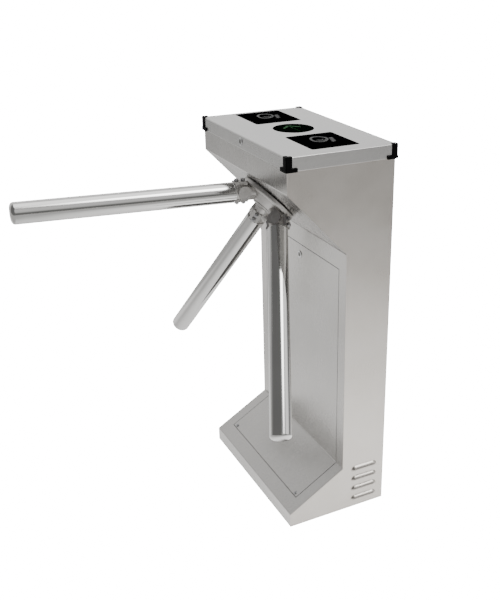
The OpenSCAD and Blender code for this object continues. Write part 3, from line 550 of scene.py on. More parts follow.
def rounded_copy(frame: Frame, node: str, finish: Finish, rounding: Rounding) -> None:
    """Makes a copy of a CAD node with rounded folds and edges, which stands for it.

    Args:
        frame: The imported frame.
        node: Node's name.
        finish: Copy's finish.
        rounding: Radii for its edges and folds.
    """
    bm = bmesh.new()
    bm.from_mesh(frame.nodes[node].data)
    bmesh.ops.remove_doubles(bm, verts=bm.verts, dist=SAME_PLACE)
    bmesh.ops.dissolve_limit(bm, angle_limit=SAME_PLANE, verts=bm.verts, edges=bm.edges)
    low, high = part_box(node)
    if rounding.rim:
        # A sheet's U-shaped end is parted first: rounded whole, it would fill its own opening.
        ends = [f for f in bm.faces if len(f.verts) > 4 and f.calc_area() < SHEET_END]
        bmesh.ops.connect_verts_concave(bm, faces=ends)
    for height, radius in ((high[2], rounding.rim), (low[2], rounding.hem)):
        if radius:
            round_border(bm, low, high, height, radius)
    if rounding.fold:
        folds = [
            e
            for e in bm.edges
            if e.is_manifold
            and e.calc_length() > FOLD_LENGTH
            and FOLD_ANGLES[0] < e.calc_face_angle() < FOLD_ANGLES[1]
        ]
        bmesh.ops.bevel(
            bm, geom=folds, offset=rounding.fold, segments=4, profile=0.5, affect="EDGES"
        )
    if rounding.edge:
        edges = [
            e
            for e in bm.edges
            if e.is_manifold and e.calc_face_angle() > math.radians(rounding.least)
        ]
        bmesh.ops.bevel(
            bm,
            geom=edges,
            offset=rounding.edge,
            segments=2,
            profile=0.5,
            affect="EDGES",
            clamp_overlap=True,
        )
    made = new_piece(f"{node}_made", bm, finish)
    # Flat faces stay flat beside rounded edges.
    made.modifiers.new("flat_faces", "WEIGHTED_NORMAL").keep_sharp = True
    settle(made, frame.body_of[node], frame.slot_of[node], node)


def copy_all(frame: Frame, *looks: tuple[str, Finish, Rounding]) -> None:
    """Makes a rounded copy of each node that is named.

    Args:
        frame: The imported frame.
        looks: Each node's name, finish and radii.
    """
    for node, finish, rounding in looks:
        rounded_copy(frame, node, finish, rounding)


def eased(profile: Profile, radius: float, steps: int = 4) -> list[tuple[float, float]]:
    """Rounds the corners of an open profile.

    Args:
        profile: Radius and height of each corner.
        radius: Distance from a corner at which the rounding starts.
        steps: Segments in a corner.

    Returns:
        The rounded profile.
    """
    points = [Vector(p) for p in profile]
    out = [points[0]]
    share = 0.45
    for before, corner, after in zip(points, points[1:], points[2:]):
        reach = min(radius, (before - corner).length * share, (after - corner).length * share)
        start = corner + (before - corner).normalized() * reach
        end = corner + (after - corner).normalized() * reach
        for i in range(steps + 1):
            t = i / steps
            out.append((1 - t) ** 2 * start + 2 * t * (1 - t) * corner + t**2 * end)
    out.append(points[-1])
    return [(p.x, p.y) for p in out]


def eased_loop(corners: Profile, rounds: int = 2) -> list[tuple[float, float]]:
    """Cuts the corners of a closed loop until it is smooth.

    Args:
        corners: The loop's corners.
        rounds: How often they are cut.

    Returns:
        The smooth loop.
    """
    points = [Vector(p) for p in corners]
    for _ in range(rounds):
        cut = []
        for here, after in zip(points, points[1:] + points[:1]):
            cut += [here.lerp(after, share) for share in (0.25, 0.75)]
        points = cut
    return [(p.x, p.y) for p in points]


def lathe_into(bm: bmesh.types.BMesh, profile: Profile, place: Matrix, steps: int) -> None:
    """Spins a profile that starts and ends on the axis.

    Args:
        bm: Mesh that gets the solid.
        profile: Radius and height of each corner.
        place: Where the axis lies.
        steps: Segments round the axis.
    """
    turns = [2 * math.pi * i / steps for i in range(steps)]
    rows: list[list[bmesh.types.BMVert]] = []
    for radius, height in profile:
        around = turns if radius > SAME_PLACE else turns[:1]
        ring = [Vector((radius * math.cos(a), radius * math.sin(a), height)) for a in around]
        rows.append([bm.verts.new(place @ corner) for corner in ring])
    for low, high in zip(rows, rows[1:]):
        for i in range(steps):
            j = (i + 1) % steps
            face = [low[i % len(low)], low[j % len(low)], high[j % len(high)], high[i % len(high)]]
            corners = list(dict.fromkeys(face))
            if len(corners) > 2:
                bm.faces.new(corners)
    bmesh.ops.recalc_face_normals(bm, faces=bm.faces)


class Recipe:
    """A geometry-node tree with named inputs, whose result becomes a plain mesh."""

    def __init__(self, name: str, **inputs: Any) -> None:
        """Starts the tree.

        Args:
            name: Tree's name.
            inputs: Default of each named input.
        """
        kinds = {int: "NodeSocketInt", float: "NodeSocketFloat", tuple: "NodeSocketVector"}
        self.tree = bpy.data.node_groups.new(name, "GeometryNodeTree")
        face = self.tree.interface
        face.new_socket("Geometry", in_out="OUTPUT", socket_type="NodeSocketGeometry")
        for key, value in inputs.items():
            socket = face.new_socket(key, in_out="INPUT", socket_type=kinds[type(value)])
            socket.default_value = value
        self.given = add_node(self.tree, "NodeGroupInput").outputs

    def node(self, kind: str, settings: Settings = None, inputs: Inputs = None) -> bpy.types.Node:
        """Adds a geometry node."""
        return add_node(self.tree, "GeometryNode" + kind, settings, inputs)

    def end(self, geometry: bpy.types.NodeSocket, finish: Finish) -> None:
        """Realizes what the tree makes, and gives it its material.

        Args:
            geometry: Socket that holds the result.
            finish: Its finish.
        """
        real = self.node("RealizeInstances", inputs={"Geometry": geometry})
        smooth = self.node("SetShadeSmooth", inputs={"Geometry": real.outputs[0]})
        dressed = self.node(
            "SetMaterial",
            inputs={"Geometry": smooth.outputs[0], "Material": material(finish)},
        )
        add_node(self.tree, "NodeGroupOutput", inputs={0: dressed.outputs[0]})

    def sweep(
        self, path: bpy.types.Node, section: bpy.types.Node, caps: bool, finish: Finish
    ) -> None:
        """Sweeps a section along a path, places the result and ends the tree.

        Args:
            path: Node of the path's curve.
            section: Node of the section's curve.
            caps: Whether the ends are closed.
            finish: Finish of the result.
        """
        swept = self.node(
            "CurveToMesh",
            inputs={
                "Curve": path.outputs["Curve"],
                "Profile Curve": section.outputs["Curve"],
                "Fill Caps": caps,
            },
        )
        placed = self.node(
            "Transform",
            inputs={
                "Geometry": swept.outputs["Mesh"],
                "Translation": self.given["Place"],
                "Rotation": self.given["Turn"],
            },
        )
        self.end(placed.outputs["Geometry"], finish)

    def mesh(self, name: str, finish: Finish, **sizes: Any) -> bpy.types.Object:
        """Runs the tree once.

        Args:
            name: Piece's name.
            finish: Its finish.
            sizes: Values for the named inputs.

        Returns:
            A plain mesh piece.
        """
        holder = bpy.data.objects.new(name, bpy.data.meshes.new(name + "_start"))
        bpy.context.scene.collection.objects.link(holder)
        modifier = holder.modifiers.new("recipe", "NODES")
        modifier.node_group = self.tree
        for item in self.tree.interface.items_tree:
            if item.in_out == "INPUT" and item.name in sizes:
                modifier[item.identifier] = sizes[item.name]
        graph = bpy.context.evaluated_depsgraph_get()
        mesh = bpy.data.meshes.new_from_object(holder.evaluated_get(graph))
        bpy.data.objects.remove(holder)
        mesh.name = name
        return show(mesh, finish)


def row_recipe(finish: Finish) -> Recipe:
    """Makes a tree for a row of round heads, such as rivets.

    Args:
        finish: Finish of the heads.

    Returns:
        The tree with its inputs.
    """
    recipe = Recipe(
        "row_of_heads",
        Count=8,
        Start=ORIGIN,
        Step=(0.03, 0.0, 0.0),
        Turn=ORIGIN,
        Radius=0.003,
        Height=0.001,
    )
    given = recipe.given
    spots = {"Count": given["Count"], "Start Location": given["Start"], "Offset": given["Step"]}
    line = recipe.node("MeshLine", inputs=spots)
    ball = recipe.node(
        "MeshUVSphere", inputs={"Segments": 20, "Rings": 10, "Radius": given["Radius"]}
    )
    flat = add_node(
        recipe.tree,
        "ShaderNodeMath",
        {"operation": "DIVIDE"},
        {0: given["Height"], 1: given["Radius"]},
    )
    squash = add_node(
        recipe.tree,
        "ShaderNodeCombineXYZ",
        inputs={"X": 1.0, "Y": 1.0, "Z": flat.outputs[0]},
    )
    head = recipe.node(
        "Transform",
        inputs={
            "Geometry": ball.outputs["Mesh"],
            "Scale": squash.outputs[0],
            "Rotation": given["Turn"],
        },
    )
    placed = recipe.node(
        "InstanceOnPoints",
        inputs={"Points": line.outputs["Mesh"], "Instance": head.outputs["Geometry"]},
    )
    recipe.end(placed.outputs["Instances"], finish)
    return recipe


def tube_recipe(finish: Finish) -> Recipe:
    """Makes a tree for a straight tube, closed round its rim.

    Args:
        finish: Finish of the tube.

    Returns:
        The tree with its inputs.
    """
    recipe = Recipe(
        "straight_tube", Mid=0.02, Wall=0.0015, Length=0.5, Place=ORIGIN, Turn=ORIGIN
    )
    given = recipe.given
    path = recipe.node(
        "CurvePrimitiveCircle", {"mode": "RADIUS"}, {"Resolution": 128, "Radius": given["Mid"]}
    )
    section = recipe.node(
        "CurvePrimitiveQuadrilateral",
        {"mode": "RECTANGLE"},
        {"Width": given["Wall"], "Height": given["Length"]},
    )
    recipe.sweep(path, section, False, finish)
    return recipe


def coil_recipe(finish: Finish) -> Recipe:
    """Makes a tree for a helical spring or winding.

    Args:
        finish: Finish of the wire.

    Returns:
        The tree with its inputs.
    """
    recipe = Recipe(
        "helical_coil", Turns=6.0, Coil=0.009, Wire=0.001, Rise=0.016, Place=ORIGIN, Turn=ORIGIN
    )
    given = recipe.given
    helix = recipe.node(
        "CurveSpiral",
        inputs={
            "Resolution": 32,
            "Rotations": given["Turns"],
            "Start Radius": given["Coil"],
            "End Radius": given["Coil"],
            "Height": given["Rise"],
        },
    )
    wire = recipe.node(
        "CurvePrimitiveCircle", {"mode": "RADIUS"}, {"Resolution": 10, "Radius": given["Wire"]}
    )
    recipe.sweep(helix, wire, True, finish)
    return recipe


@dataclass(frozen=True)
class Slope:
    """The slanted face that carries the hub, and the arms' directions from it.

    Attributes:
        front: Y of the upright face above the slope.
        fold_height: Height of the fold between the two.
        angle: Slope's angle to the level, in degrees.
        drop: Way from the fold down the slope to the hub's axis.
        apex: How far behind the slope the arms' axes meet.
        cone: Angle between an arm and the hub's axis, in degrees.
        phase: The arms' turn about the hub's axis, in degrees.
    """

    front: float = -0.140
    fold_height: float = 0.894
    angle: float = 46.7
    drop: float = 0.104
    apex: float = 0.028
    cone: float = 45.0
    phase: float = -5.0

    def place(self) -> Matrix:
        """Gives the frame with +Z out along the hub's axis and +Y up the slope.

        Returns:
            The hub's frame.
        """
        tilt = math.radians(self.angle)
        centre = (
            0.0,
            self.front + self.drop * math.cos(tilt),
            self.fold_height - self.drop * math.sin(tilt),
        )
        return Matrix.Translation(centre) @ Matrix.Rotation(math.pi - tilt, 4, "X")

    def arm(self, number: int) -> Matrix:
        """Gives the frame with +Z along an arm, from the point where the arms meet.

        Args:
            number: Arm's number, from 1.

        Returns:
            The arm's frame.
        """
        turn = math.radians(90 - self.phase - 120 * (number - 1))
        return (
            self.place()
            @ Matrix.Rotation(turn, 4, "Z")
            @ Matrix.Translation((0, 0, -self.apex))
            @ Matrix.Rotation(math.radians(self.cone), 4, "Y")
        )


@dataclass(frozen=True)
class Cabinet:
    """The folded steel cabinet, its cover and the cover's lock.

    Attributes:
        frame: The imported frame.
        fold: Radius of the sheets' folds.
        edge: Radius of their edges.
        strip_edge: Radius of the edges of the strip round the cover.
    """

    frame: Frame
    fold: float = 2.2 * MM
    edge: float = 0.45 * MM
    strip_edge: float = 0.2 * MM

    def build(self) -> None:
        """Builds the sheets, the screws and the lock."""
        folded, plain = Rounding(self.edge, self.fold), Rounding(self.edge)
        copy_all(
            self.frame,
            ("head_panel", FRONT_STEEL, folded),
            ("door_frame", FRONT_STEEL, folded),
            ("access_cover", FRONT_STEEL, folded),
            ("end_plate_left", END_STEEL, plain),
            ("end_plate_right", END_STEEL, plain),
            ("rear_panel", END_STEEL, plain),
            # The strip's dark colour is painted shade for the joint round the cover.
            ("cover_rim", JOINT_SHADE_RUBBER, Rounding(self.strip_edge, self.fold)),
            ("base_plate", ZINC_STEEL, Rounding()),
            ("cover_screws", TURNED_STEEL, Rounding()),
            ("cover_lock_body", CHROME, Rounding()),
            ("cover_lock_plug", DULL_NICKEL, Rounding()),
            ("frame_rails", ZINC_STEEL, Rounding()),
        )


@dataclass(frozen=True)
class Lid:
    """The hinged lid with its windows, indicator, lock and corner caps.

    Attributes:
        frame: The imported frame.
        top: Height of the faces of the windows and the lens.
        centre: Middle of the lens and of the pair of windows, from above.
        pitch: Distance between the windows' middles.
        lens: Radius of the lens's face.
        ink: Thickness of the printed signs.
        dot: Radius of a diode.
        dot_pitch: Distance between diodes.
        dot_lift: How far the unlit diodes lie over the lens, and the lit ones over those.
        lens_border: Width of the plain border round the diodes.
        arrow_reach: Distance from the lens's middle to the arrow's tip, and to its tail.
        arrow_barb: Reach of a barb along X and along Y.
    """

    frame: Frame
    top: float = 0.980
    centre: tuple[float, float] = (-0.011, 0.004)
    pitch: float = 0.292
    lens: float = 0.051
    ink: float = 0.12 * MM
    dot: float = 1.7 * MM
    dot_pitch: float = 4.8 * MM
    dot_lift: float = 0.03 * MM
    lens_border: float = 5 * MM
    arrow_reach: float = 32 * MM
    arrow_barb: float = 21 * MM

    def build(self) -> None:
        """Builds the lid's pieces."""
        flush = Rounding(0.25 * MM)
        copy_all(
            self.frame,
            ("top_lid", LID_STEEL, Rounding(0.4 * MM, least=60, rim=3.0 * MM, hem=1.2 * MM)),
            ("corner_caps", BLACK_ABS, Rounding(1.1 * MM, least=40)),
            ("reader_windows", BLACK_ACRYLIC, flush),
            ("indicator_lens", BLACK_ACRYLIC, flush),
            ("lid_lock_body", CHROME, Rounding()),
            ("lid_lock_plug", DULL_NICKEL, Rounding()),
            ("reader_modules", BLACK_ABS, Rounding(1.2 * MM)),
            ("indicator_board", BOARD_MASK, Rounding()),
        )
        for number, side in enumerate((-1, 1), 1):
            self.pictogram(f"card_print_{number}", self.centre[0] + side * self.pitch / 2)
        self.indicator()

    def pictogram(self, name: str, x: float) -> None:
        """Prints a contactless card's outline, its waves and four finger tips.

        Args:
            name: Piece's name.
            x: Middle of the window.
        """
        bm = bmesh.new()
        place = Matrix.Translation((x, self.centre[1], self.top))
        card_width, wave_width, finger_width = 6.0, 3.0, 7.0
        card = [(-42, -1), (-36, 15), (-20, 23), (0, 15)]
        card += [(12, -3), (6, -17), (-12, -21), (-32, -14)]
        stroke_into(bm, place, eased_loop(card), card_width, self.ink, closed=True)
        source = (-14, 2)
        angles = [math.radians(a) for a in range(-70, 71, 14)]
        for reach in (7.0, 14.0):
            arc = [
                (source[0] + reach * math.cos(a), source[1] + reach * math.sin(a)) for a in angles
            ]
            stroke_into(bm, place, arc, wave_width, self.ink)
        for step in range(4):
            start = (-16 + 10 * step, 37 - 3 * step)
            finger = [start, (start[0] + 3, start[1] - 11)]
            stroke_into(bm, place, finger, finger_width, self.ink)
        made = new_piece(name, bm, GREY_INK)
        settle(made, "lid", "black_panel")

    def indicator(self) -> None:
        """Sets the diodes of the round lens as an arrow along the passage."""
        x, y = self.centre
        low = self.top + self.dot_lift
        field = field_recipe(DARK_RESIN).mesh(
            "dark_diodes",
            DARK_RESIN,
            Centre=(x, y, low),
            Field=self.lens - self.lens_border,
            Spacing=self.dot_pitch,
            Dot=self.dot,
        )
        settle(field, "lid", "black_panel")
        high = low + self.dot_lift
        recipe = arrow_recipe(LIT_RESIN)
        barb = self.arrow_barb
        for row in range(2):
            tip = x - self.arrow_reach + row * self.dot_pitch
            arrow = recipe.mesh(
                f"arrow_diodes_{row + 1}",
                LIT_RESIN,
                Tip=(tip, y, high),
                Tail=(x + self.arrow_reach, y, high),
                Barb_a=(tip + barb, y + barb, high),
                Barb_b=(tip + barb, y - barb, high),
                Spacing=self.dot_pitch,
                Dot=self.dot,
            )
            settle(arrow, "lid", "black_panel")


def arrow_recipe(finish: Finish) -> Recipe:
    """Makes a tree for the lit diodes of an arrow: a stem and two barbs.

    Args:
        finish: Finish of the diodes.

    Returns:
        The tree with its inputs.
    """
    recipe = Recipe(
        "arrow_of_diodes",
        Tip=ORIGIN,
        Tail=(0.06, 0.0, 0.0),
        Barb_a=(0.02, 0.02, 0.0),
        Barb_b=(0.02, -0.02, 0.0),
        Spacing=0.0045,
        Dot=0.0017,
    )
    given = recipe.given
    lines = [
        recipe.node(
            "CurvePrimitiveLine", inputs={"Start": given["Tip"], "End": given[end]}
        ).outputs["Curve"]
        for end in ("Tail", "Barb_a", "Barb_b")
    ]
    joined = recipe.node("JoinGeometry")
    for line in lines:
        recipe.tree.links.new(line, joined.inputs["Geometry"])
    points = recipe.node(
        "CurveToPoints",
        {"mode": "LENGTH"},
        {"Curve": joined.outputs["Geometry"], "Length": given["Spacing"]},
    )
    disc = recipe.node(
        "MeshCircle", {"fill_type": "NGON"}, {"Vertices": 16, "Radius": given["Dot"]}
    )
    placed = recipe.node(
        "InstanceOnPoints",
        inputs={"Points": points.outputs["Points"], "Instance": disc.outputs["Mesh"]},
    )
    recipe.end(placed.outputs["Instances"], finish)
    return recipe


def field_recipe(finish: Finish) -> Recipe:
    """Makes a tree for the unlit diodes that fill a round field.

    Args:
        finish: Finish of the diodes.

    Returns:
        The tree with its inputs.
    """
    recipe = Recipe(
        "field_of_diodes", Centre=ORIGIN, Field=0.046, Spacing=0.0045, Dot=0.0017, Seed=7
    )
    given = recipe.given
    disc = recipe.node(
        "MeshCircle", {"fill_type": "NGON"}, {"Vertices": 64, "Radius": given["Field"]}
    )
    points = recipe.node(
        "DistributePointsOnFaces",
        {"distribute_method": "POISSON"},
        {
            "Mesh": disc.outputs["Mesh"],
            "Distance Min": given["Spacing"],
            "Density Max": 90000.0,
            "Seed": given["Seed"],
        },
    )
    dot = recipe.node(
        "MeshCircle", {"fill_type": "NGON"}, {"Vertices": 12, "Radius": given["Dot"]}
    )
    placed = recipe.node(
        "InstanceOnPoints",
        inputs={"Points": points.outputs["Points"], "Instance": dot.outputs["Mesh"]},
    )
    moved = recipe.node(
        "Transform",
        inputs={"Geometry": placed.outputs["Instances"], "Translation": given["Centre"]},
    )
    recipe.end(moved.outputs["Geometry"], finish)
    return recipe


def stroke_into(
    bm: bmesh.types.BMesh,
    place: Matrix,
    points: Profile,
    width: float,
    height: float,
    closed: bool = False,
) -> None:
    """Draws a line of even width as a thin raised band.

    Args:
        bm: Mesh that gets the band.
        place: Plane that it lies on.
        points: Line's corners, in millimetres.
        width: Line's width, in millimetres.
        height: Band's height, in metres.
        closed: Whether the line returns to its start.
    """
    line = [Vector(p) for p in points]
    count = len(line)
    sharpest = 0.5
    left, right = [], []
    for i, point in enumerate(line):
        before = line[i - 1] if i or closed else None
        after = line[(i + 1) % count] if i < count - 1 or closed else None
        runs = [(point - before).normalized()] if before is not None else []
        runs += [(after - point).normalized()] if after is not None else []
        run = sum(runs, Vector((0.0, 0.0))).normalized()
        side = Vector((-run.y, run.x))
        reach = width / 2 / max(sharpest, abs(side.dot(Vector((-runs[0].y, runs[0].x)))))
        left.append(point + side * reach)
        right.append(point - side * reach)
    verts = [
        [bm.verts.new(place @ Vector((p.x * MM, p.y * MM, z))) for p in pair for z in (0.0, height)]
        for pair in zip(left, right)
    ]
    for a, b in zip(verts, verts[1:] + verts[:1] if closed else verts[1:]):
        for i, j in ((0, 1), (1, 3), (3, 2), (2, 0)):
            bm.faces.new((a[i], a[j], b[j], b[i]))
    if not closed:
        for end in (verts[0], verts[-1]):
            bm.faces.new((end[0], end[1], end[3], end[2]))
    bmesh.ops.recalc_face_normals(bm, faces=bm.faces)


@dataclass(frozen=True)
class Heads:
    """A row of equal round heads along X.

    Attributes:
        count: How many they are.
        pitch: Distance between their middles.
        radius: Radius of a head.
        dome: Height of its dome.
    """

    count: int
    pitch: float
    radius: float
    dome: float

    def row(self, name: str, body: str, start: Sequence[float], tilt: float) -> None:
        """Sets the row on a body.

        Args:
            name: Piece's name.
            body: Body that it rides on.
            start: Middle of the first head.
            tilt: The heads' turn about X, from upright.
        """
        made = row_recipe(TURNED_STEEL).mesh(
            name,
            TURNED_STEEL,
            Count=self.count,
            Start=tuple(start),
            Step=(self.pitch, 0.0, 0.0),
            Turn=(tilt, 0.0, 0.0),
            Radius=self.radius,
            Height=self.dome,
        )
        settle(made, body, "fastener_steel")


@dataclass(frozen=True)
class Hinge:
    """The lid's piano hinge, with its rivets.

    Attributes:
        frame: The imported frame.
        rivets: Row of rivets on each leaf.
        inset: Distance of a row from its leaf's edge.
        leaf: Thickness of a leaf, on whose outer face the rivets' middles lie.
    """

    frame: Frame
    rivets: Heads = Heads(14, 30 * MM, 2.6 * MM, 1.1 * MM)
    inset: float = 8 * MM
    leaf: float = 1.2 * MM

    def build(self) -> None:
        """Builds the leaves, the pin and the rows of rivets."""
        for node in ("lid_hinge_leaf", "cabinet_hinge_leaf", "hinge_pin"):
            rounded_copy(self.frame, node, TURNED_STEEL, Rounding(0.2 * MM))
        first = -self.rivets.pitch * (self.rivets.count - 1) / 2
        low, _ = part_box("cabinet_hinge_leaf")
        behind = (first, low[1] + self.leaf, low[2] + self.inset)
        self.rivets.row("hinge_rivets", "cabinet", behind, math.pi / 2)
        low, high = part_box("lid_hinge_leaf")
        above = (first, low[1] + self.inset, high[2] - self.leaf)
        self.rivets.row("lid_hinge_rivets", "lid", above, 0.0)


@dataclass(frozen=True)
class Tripod:
    """The hub and its three arms.

    Attributes:
        frame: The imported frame.
        slope: Face that carries the hub.
        radius: Outer radius of a tube.
        wall: Its wall.
        root: Distance from where the arms' axes meet to a tube's start.
        length: Tube's length.
        tip: Height of a tip's dome.
        flat: Share of the radius over which the dome is flat.
        collar: Length of the collar before a tube.
        spigot: Radius of the spigot that goes into the hub.
        spigot_depth: Spigot's length.
        tip_plug: How far a tip reaches into its tube.
        root_plug: How far a collar reaches into it.
        fit: Clearance of both in the tube.
        root_edge: Radius of a collar's edges.
        around: Segments round an arm.
        dome_steps: Segments from a dome's side to its flat.
    """

    frame: Frame
    slope: Slope = Slope()
    radius: float = 25.4 * MM
    wall: float = 1.5 * MM
    root: float = 118 * MM
    length: float = 507 * MM
    tip: float = 9 * MM
    flat: float = 0.53
    collar: float = 4 * MM
    spigot: float = 17 * MM
    spigot_depth: float = 34 * MM
    tip_plug: float = 14 * MM
    root_plug: float = 30 * MM
    fit: float = 0.05 * MM
    root_edge: float = 0.7 * MM
    around: int = 128
    dome_steps: int = 14

    def build(self) -> None:
        """Builds the hub and the arms."""
        self.tubes()
        self.ends()
        self.hub()

    def tubes(self) -> None:
        """Sweeps the three tubes."""
        recipe = tube_recipe(MOPPED_STEEL)
        for number in (1, 2, 3):
            arm = self.slope.arm(number)
            middle = arm @ Vector((0, 0, self.root + self.length / 2))
            made = recipe.mesh(
                f"tube_{number}",
                MOPPED_STEEL,
                Mid=self.radius - self.wall / 2,
                Wall=self.wall,
                Length=self.length,
                Place=tuple(middle),
                Turn=tuple(arm.to_euler()),
            )
            made.data.set_sharp_from_angle(angle=SHARP)
            settle(made, "tripod", "polished_steel", f"arm_tube_{number}")

    def ends(self) -> None:
        """Spins the domed tips and the collars at the roots."""
        end = self.root + self.length
        flat = self.radius * self.flat
        bulge = self.radius - flat
        turns = [math.pi / 2 * i / self.dome_steps for i in range(self.dome_steps + 1)]
        dome = [(flat + bulge * math.cos(t), end + self.tip * math.sin(t)) for t in turns]
        inside = self.radius - self.wall - self.fit
        start = end - self.tip_plug
        tips = [(0.0, start), (inside, start), (inside, end), *dome, (0.0, end + self.tip)]
        low = self.root - self.collar
        high = self.root + self.root_plug
        root = [
            (0.0, low - self.spigot_depth),
            (self.spigot, low - self.spigot_depth),
            (self.spigot, low),
            (self.radius, low),
            (self.radius, self.root),
            (inside, self.root),
            (inside, high),
            (0.0, high),
        ]
        for name, node, profile in (
            ("domed_tips", "arm_tip_caps", tips),
            ("root_collars", "arm_root_plugs", eased(root, self.root_edge)),
        ):
            bm = bmesh.new()
            for number in (1, 2, 3):
                lathe_into(bm, profile, self.slope.arm(number), self.around)
            settle(new_piece(name, bm, MOPPED_STEEL), "tripod", "polished_steel", node)

    def hub(self) -> None:
        """Builds the hub's flange, casting, cap and bolts."""
        copy_all(
            self.frame,
            ("hub_flange", FLANGE_STEEL, Rounding(1.0 * MM, least=30)),
            ("hub_casting", CAST_STEEL, Rounding(0.8 * MM, least=25)),
            ("hub_cap", CAST_STEEL, Rounding(0.4 * MM, least=30)),
            ("hub_bolt", OXIDE_STEEL, Rounding()),
            ("arm_bolts", TURNED_STEEL, Rounding()),
        )


@dataclass(frozen=True)
class Mechanism:
    """What locks, centres and damps the hub inside the cabinet.

    Attributes:
        frame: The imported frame.
        slope: Face that the mechanism lies behind.
        coil: Radius of the lever's spring, to the middle of its wire.
        wire: Radius of its wire.
        coil_turns: Its turns.
        coil_pitch: Its rise in one turn.
        edge: Radius of the pieces' edges.
    """

    frame: Frame
    slope: Slope = Slope()
    coil: float = 9 * MM
    wire: float = 1 * MM
    coil_turns: int = 6
    coil_pitch: float = 2.6 * MM
    edge: float = 0.3 * MM

    def build(self) -> None:
        """Builds the mechanism's pieces."""
        looks = {
            ZINC_STEEL: ("mechanism_plate", "solenoid_brackets", "damper_bracket"),
            TURNED_STEEL: (
                "mechanism_bolts",
                "shaft_bearings",
                "pivot_posts",
                "main_shaft",
                "encoder_disc",
                "shaft_nut",
                "plunger_entry",
                "plunger_exit",
                "centring_roller",
            ),
            OXIDE_STEEL: ("locking_disc", "pin_wheel", "pawl_entry", "pawl_exit", "centring_lever"),
            IRON_PAINT: ("bearing_housing",),
            COIL_TAPE: ("solenoids", "damper_body"),
            BLACK_ABS: ("encoder_sensor",),
            BRASS: ("drive_gear", "damper_pinion"),
        }
        for finish, nodes in looks.items():
            for node in nodes:
                rounded_copy(self.frame, node, finish, Rounding(self.edge))
        self.spring()

    def spring(self) -> None:
        """Winds the lever's spring."""
        low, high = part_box("centring_spring")
        middle = (Vector(low) + Vector(high)) / 2
        place = self.slope.place()
        rise = self.coil_pitch * self.coil_turns
        start = middle - place.to_3x3() @ Vector((0, 0, rise / 2))
        made = coil_recipe(OXIDE_STEEL).mesh(
            "lever_spring",
            OXIDE_STEEL,
            Turns=float(self.coil_turns),
            Coil=self.coil,
            Wire=self.wire,
            Rise=rise,
            Place=tuple(start),
            Turn=tuple(place.to_euler()),
        )
        settle(made, "cabinet", "machined_steel", "centring_spring")


@dataclass(frozen=True)
class Electrics:
    """The control board, its power supply and their fixings.

    Attributes:
        frame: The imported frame.
        screws: Row of screws on the terminal block.
        first: First screw's place from the board's lowest corner.
    """

    frame: Frame
    screws: Heads = Heads(12, 11 * MM, 2.2 * MM, 0.8 * MM)
    first: tuple[float, float, float] = (20 * MM, 8.7 * MM, 9 * MM)

    def build(self) -> None:
        """Builds the boards and the supply."""
        copy_all(
            self.frame,
            ("control_board", BOARD_MASK, Rounding(0.25 * MM)),
            ("board_standoffs", BRASS, Rounding(0.25 * MM)),
            ("power_supply", TIN_CASE, Rounding(0.4 * MM)),
        )
        low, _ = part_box("control_board")
        start = [corner + reach for corner, reach in zip(low, self.first)]
        self.screws.row("terminal_screws", "cabinet", start, math.pi / 2)


@dataclass(frozen=True)
class Glow:
    """A soft round patch of light, far off, sized in degrees."""

    azimuth: float
    elevation: float
    radius: float
    blur: float
    strength: float

    def way(self) -> tuple[float, float, float]:
        """Gives the direction of the patch's middle."""
        a, e = math.radians(self.azimuth), math.radians(self.elevation)
        return math.cos(a) * math.cos(e), math.sin(a) * math.cos(e), math.sin(e)


@dataclass(frozen=True)
class Pool:
    """A pool of painted light on the floor: a glow that fades between two distances from its
    middle.
    """

    x: float
    y: float
    inner: float
    outer: float
    strength: float


def add_fade(
    tree: bpy.types.NodeTree,
    total: bpy.types.NodeSocket | float,
    value: bpy.types.NodeSocket,
    ends: tuple[float, float],
    strengths: tuple[float, float],
) -> bpy.types.NodeSocket:
    """Adds a light that fades smoothly between two values to the lights before it.

    Args:
        tree: Tree that gets the nodes.
        total: Sum of the lights before it.
        value: What the light fades with.
        ends: The two values.
        strengths: Light's strength at each of them.

    Returns:
        The new sum.
    """
    light = add_node(
        tree,
        "ShaderNodeMapRange",
        {"interpolation_type": "SMOOTHSTEP"},
        {
            "Value": value,
            "From Min": ends[0],
            "From Max": ends[1],
            "To Min": strengths[0],
            "To Max": strengths[1],
        },
    ).outputs["Result"]
    both = add_node(tree, "ShaderNodeMath", {"operation": "ADD"}, {0: total, 1: light})
    return both.outputs["Value"]


@dataclass(frozen=True)
class Paper(Plastic):
    """A floor's paper: white in view, and to all other rays a glow of painted light that fades with
    distance.

    Attributes:
        pools: Pools of painted light on it.
        white: Strength of the white that the camera sees.
    """

    pools: tuple[Pool, ...] = ()
    white: float = 0.0

    def texture(self, tree: bpy.types.NodeTree, shader: bpy.types.Node) -> None:
        """Sums the pools of painted light into a glow, and hides the sum from the camera.

        Args:
            tree: Material's tree.
            shader: Its shader.
        """
        shader.inputs["Base Color"].default_value = linear(self.colour)
        place = add_node(tree, "ShaderNodeTexCoord").outputs["Object"]
        total: bpy.types.NodeSocket | float = 0.0
        for pool in self.pools:
            away = add_node(
                tree,
                "ShaderNodeVectorMath",
                {"operation": "DISTANCE"},
                {0: place, 1: (pool.x, pool.y, 0.0)},
            )
            ends = (pool.inner, pool.outer)
            total = add_fade(tree, total, away.outputs["Value"], ends, (pool.strength, 0.0))
        # Painted light: the pools glow to every ray but the camera's, which sees plain white.
        seen = add_node(tree, "ShaderNodeLightPath").outputs["Is Camera Ray"]
        glow = add_node(
            tree,
            "ShaderNodeMapRange",
            inputs={"Value": seen, "To Min": total, "To Max": self.white},
        )
        shader.inputs["Emission Color"].default_value = linear(WHITE)
        tree.links.new(glow.outputs["Result"], shader.inputs["Emission Strength"])


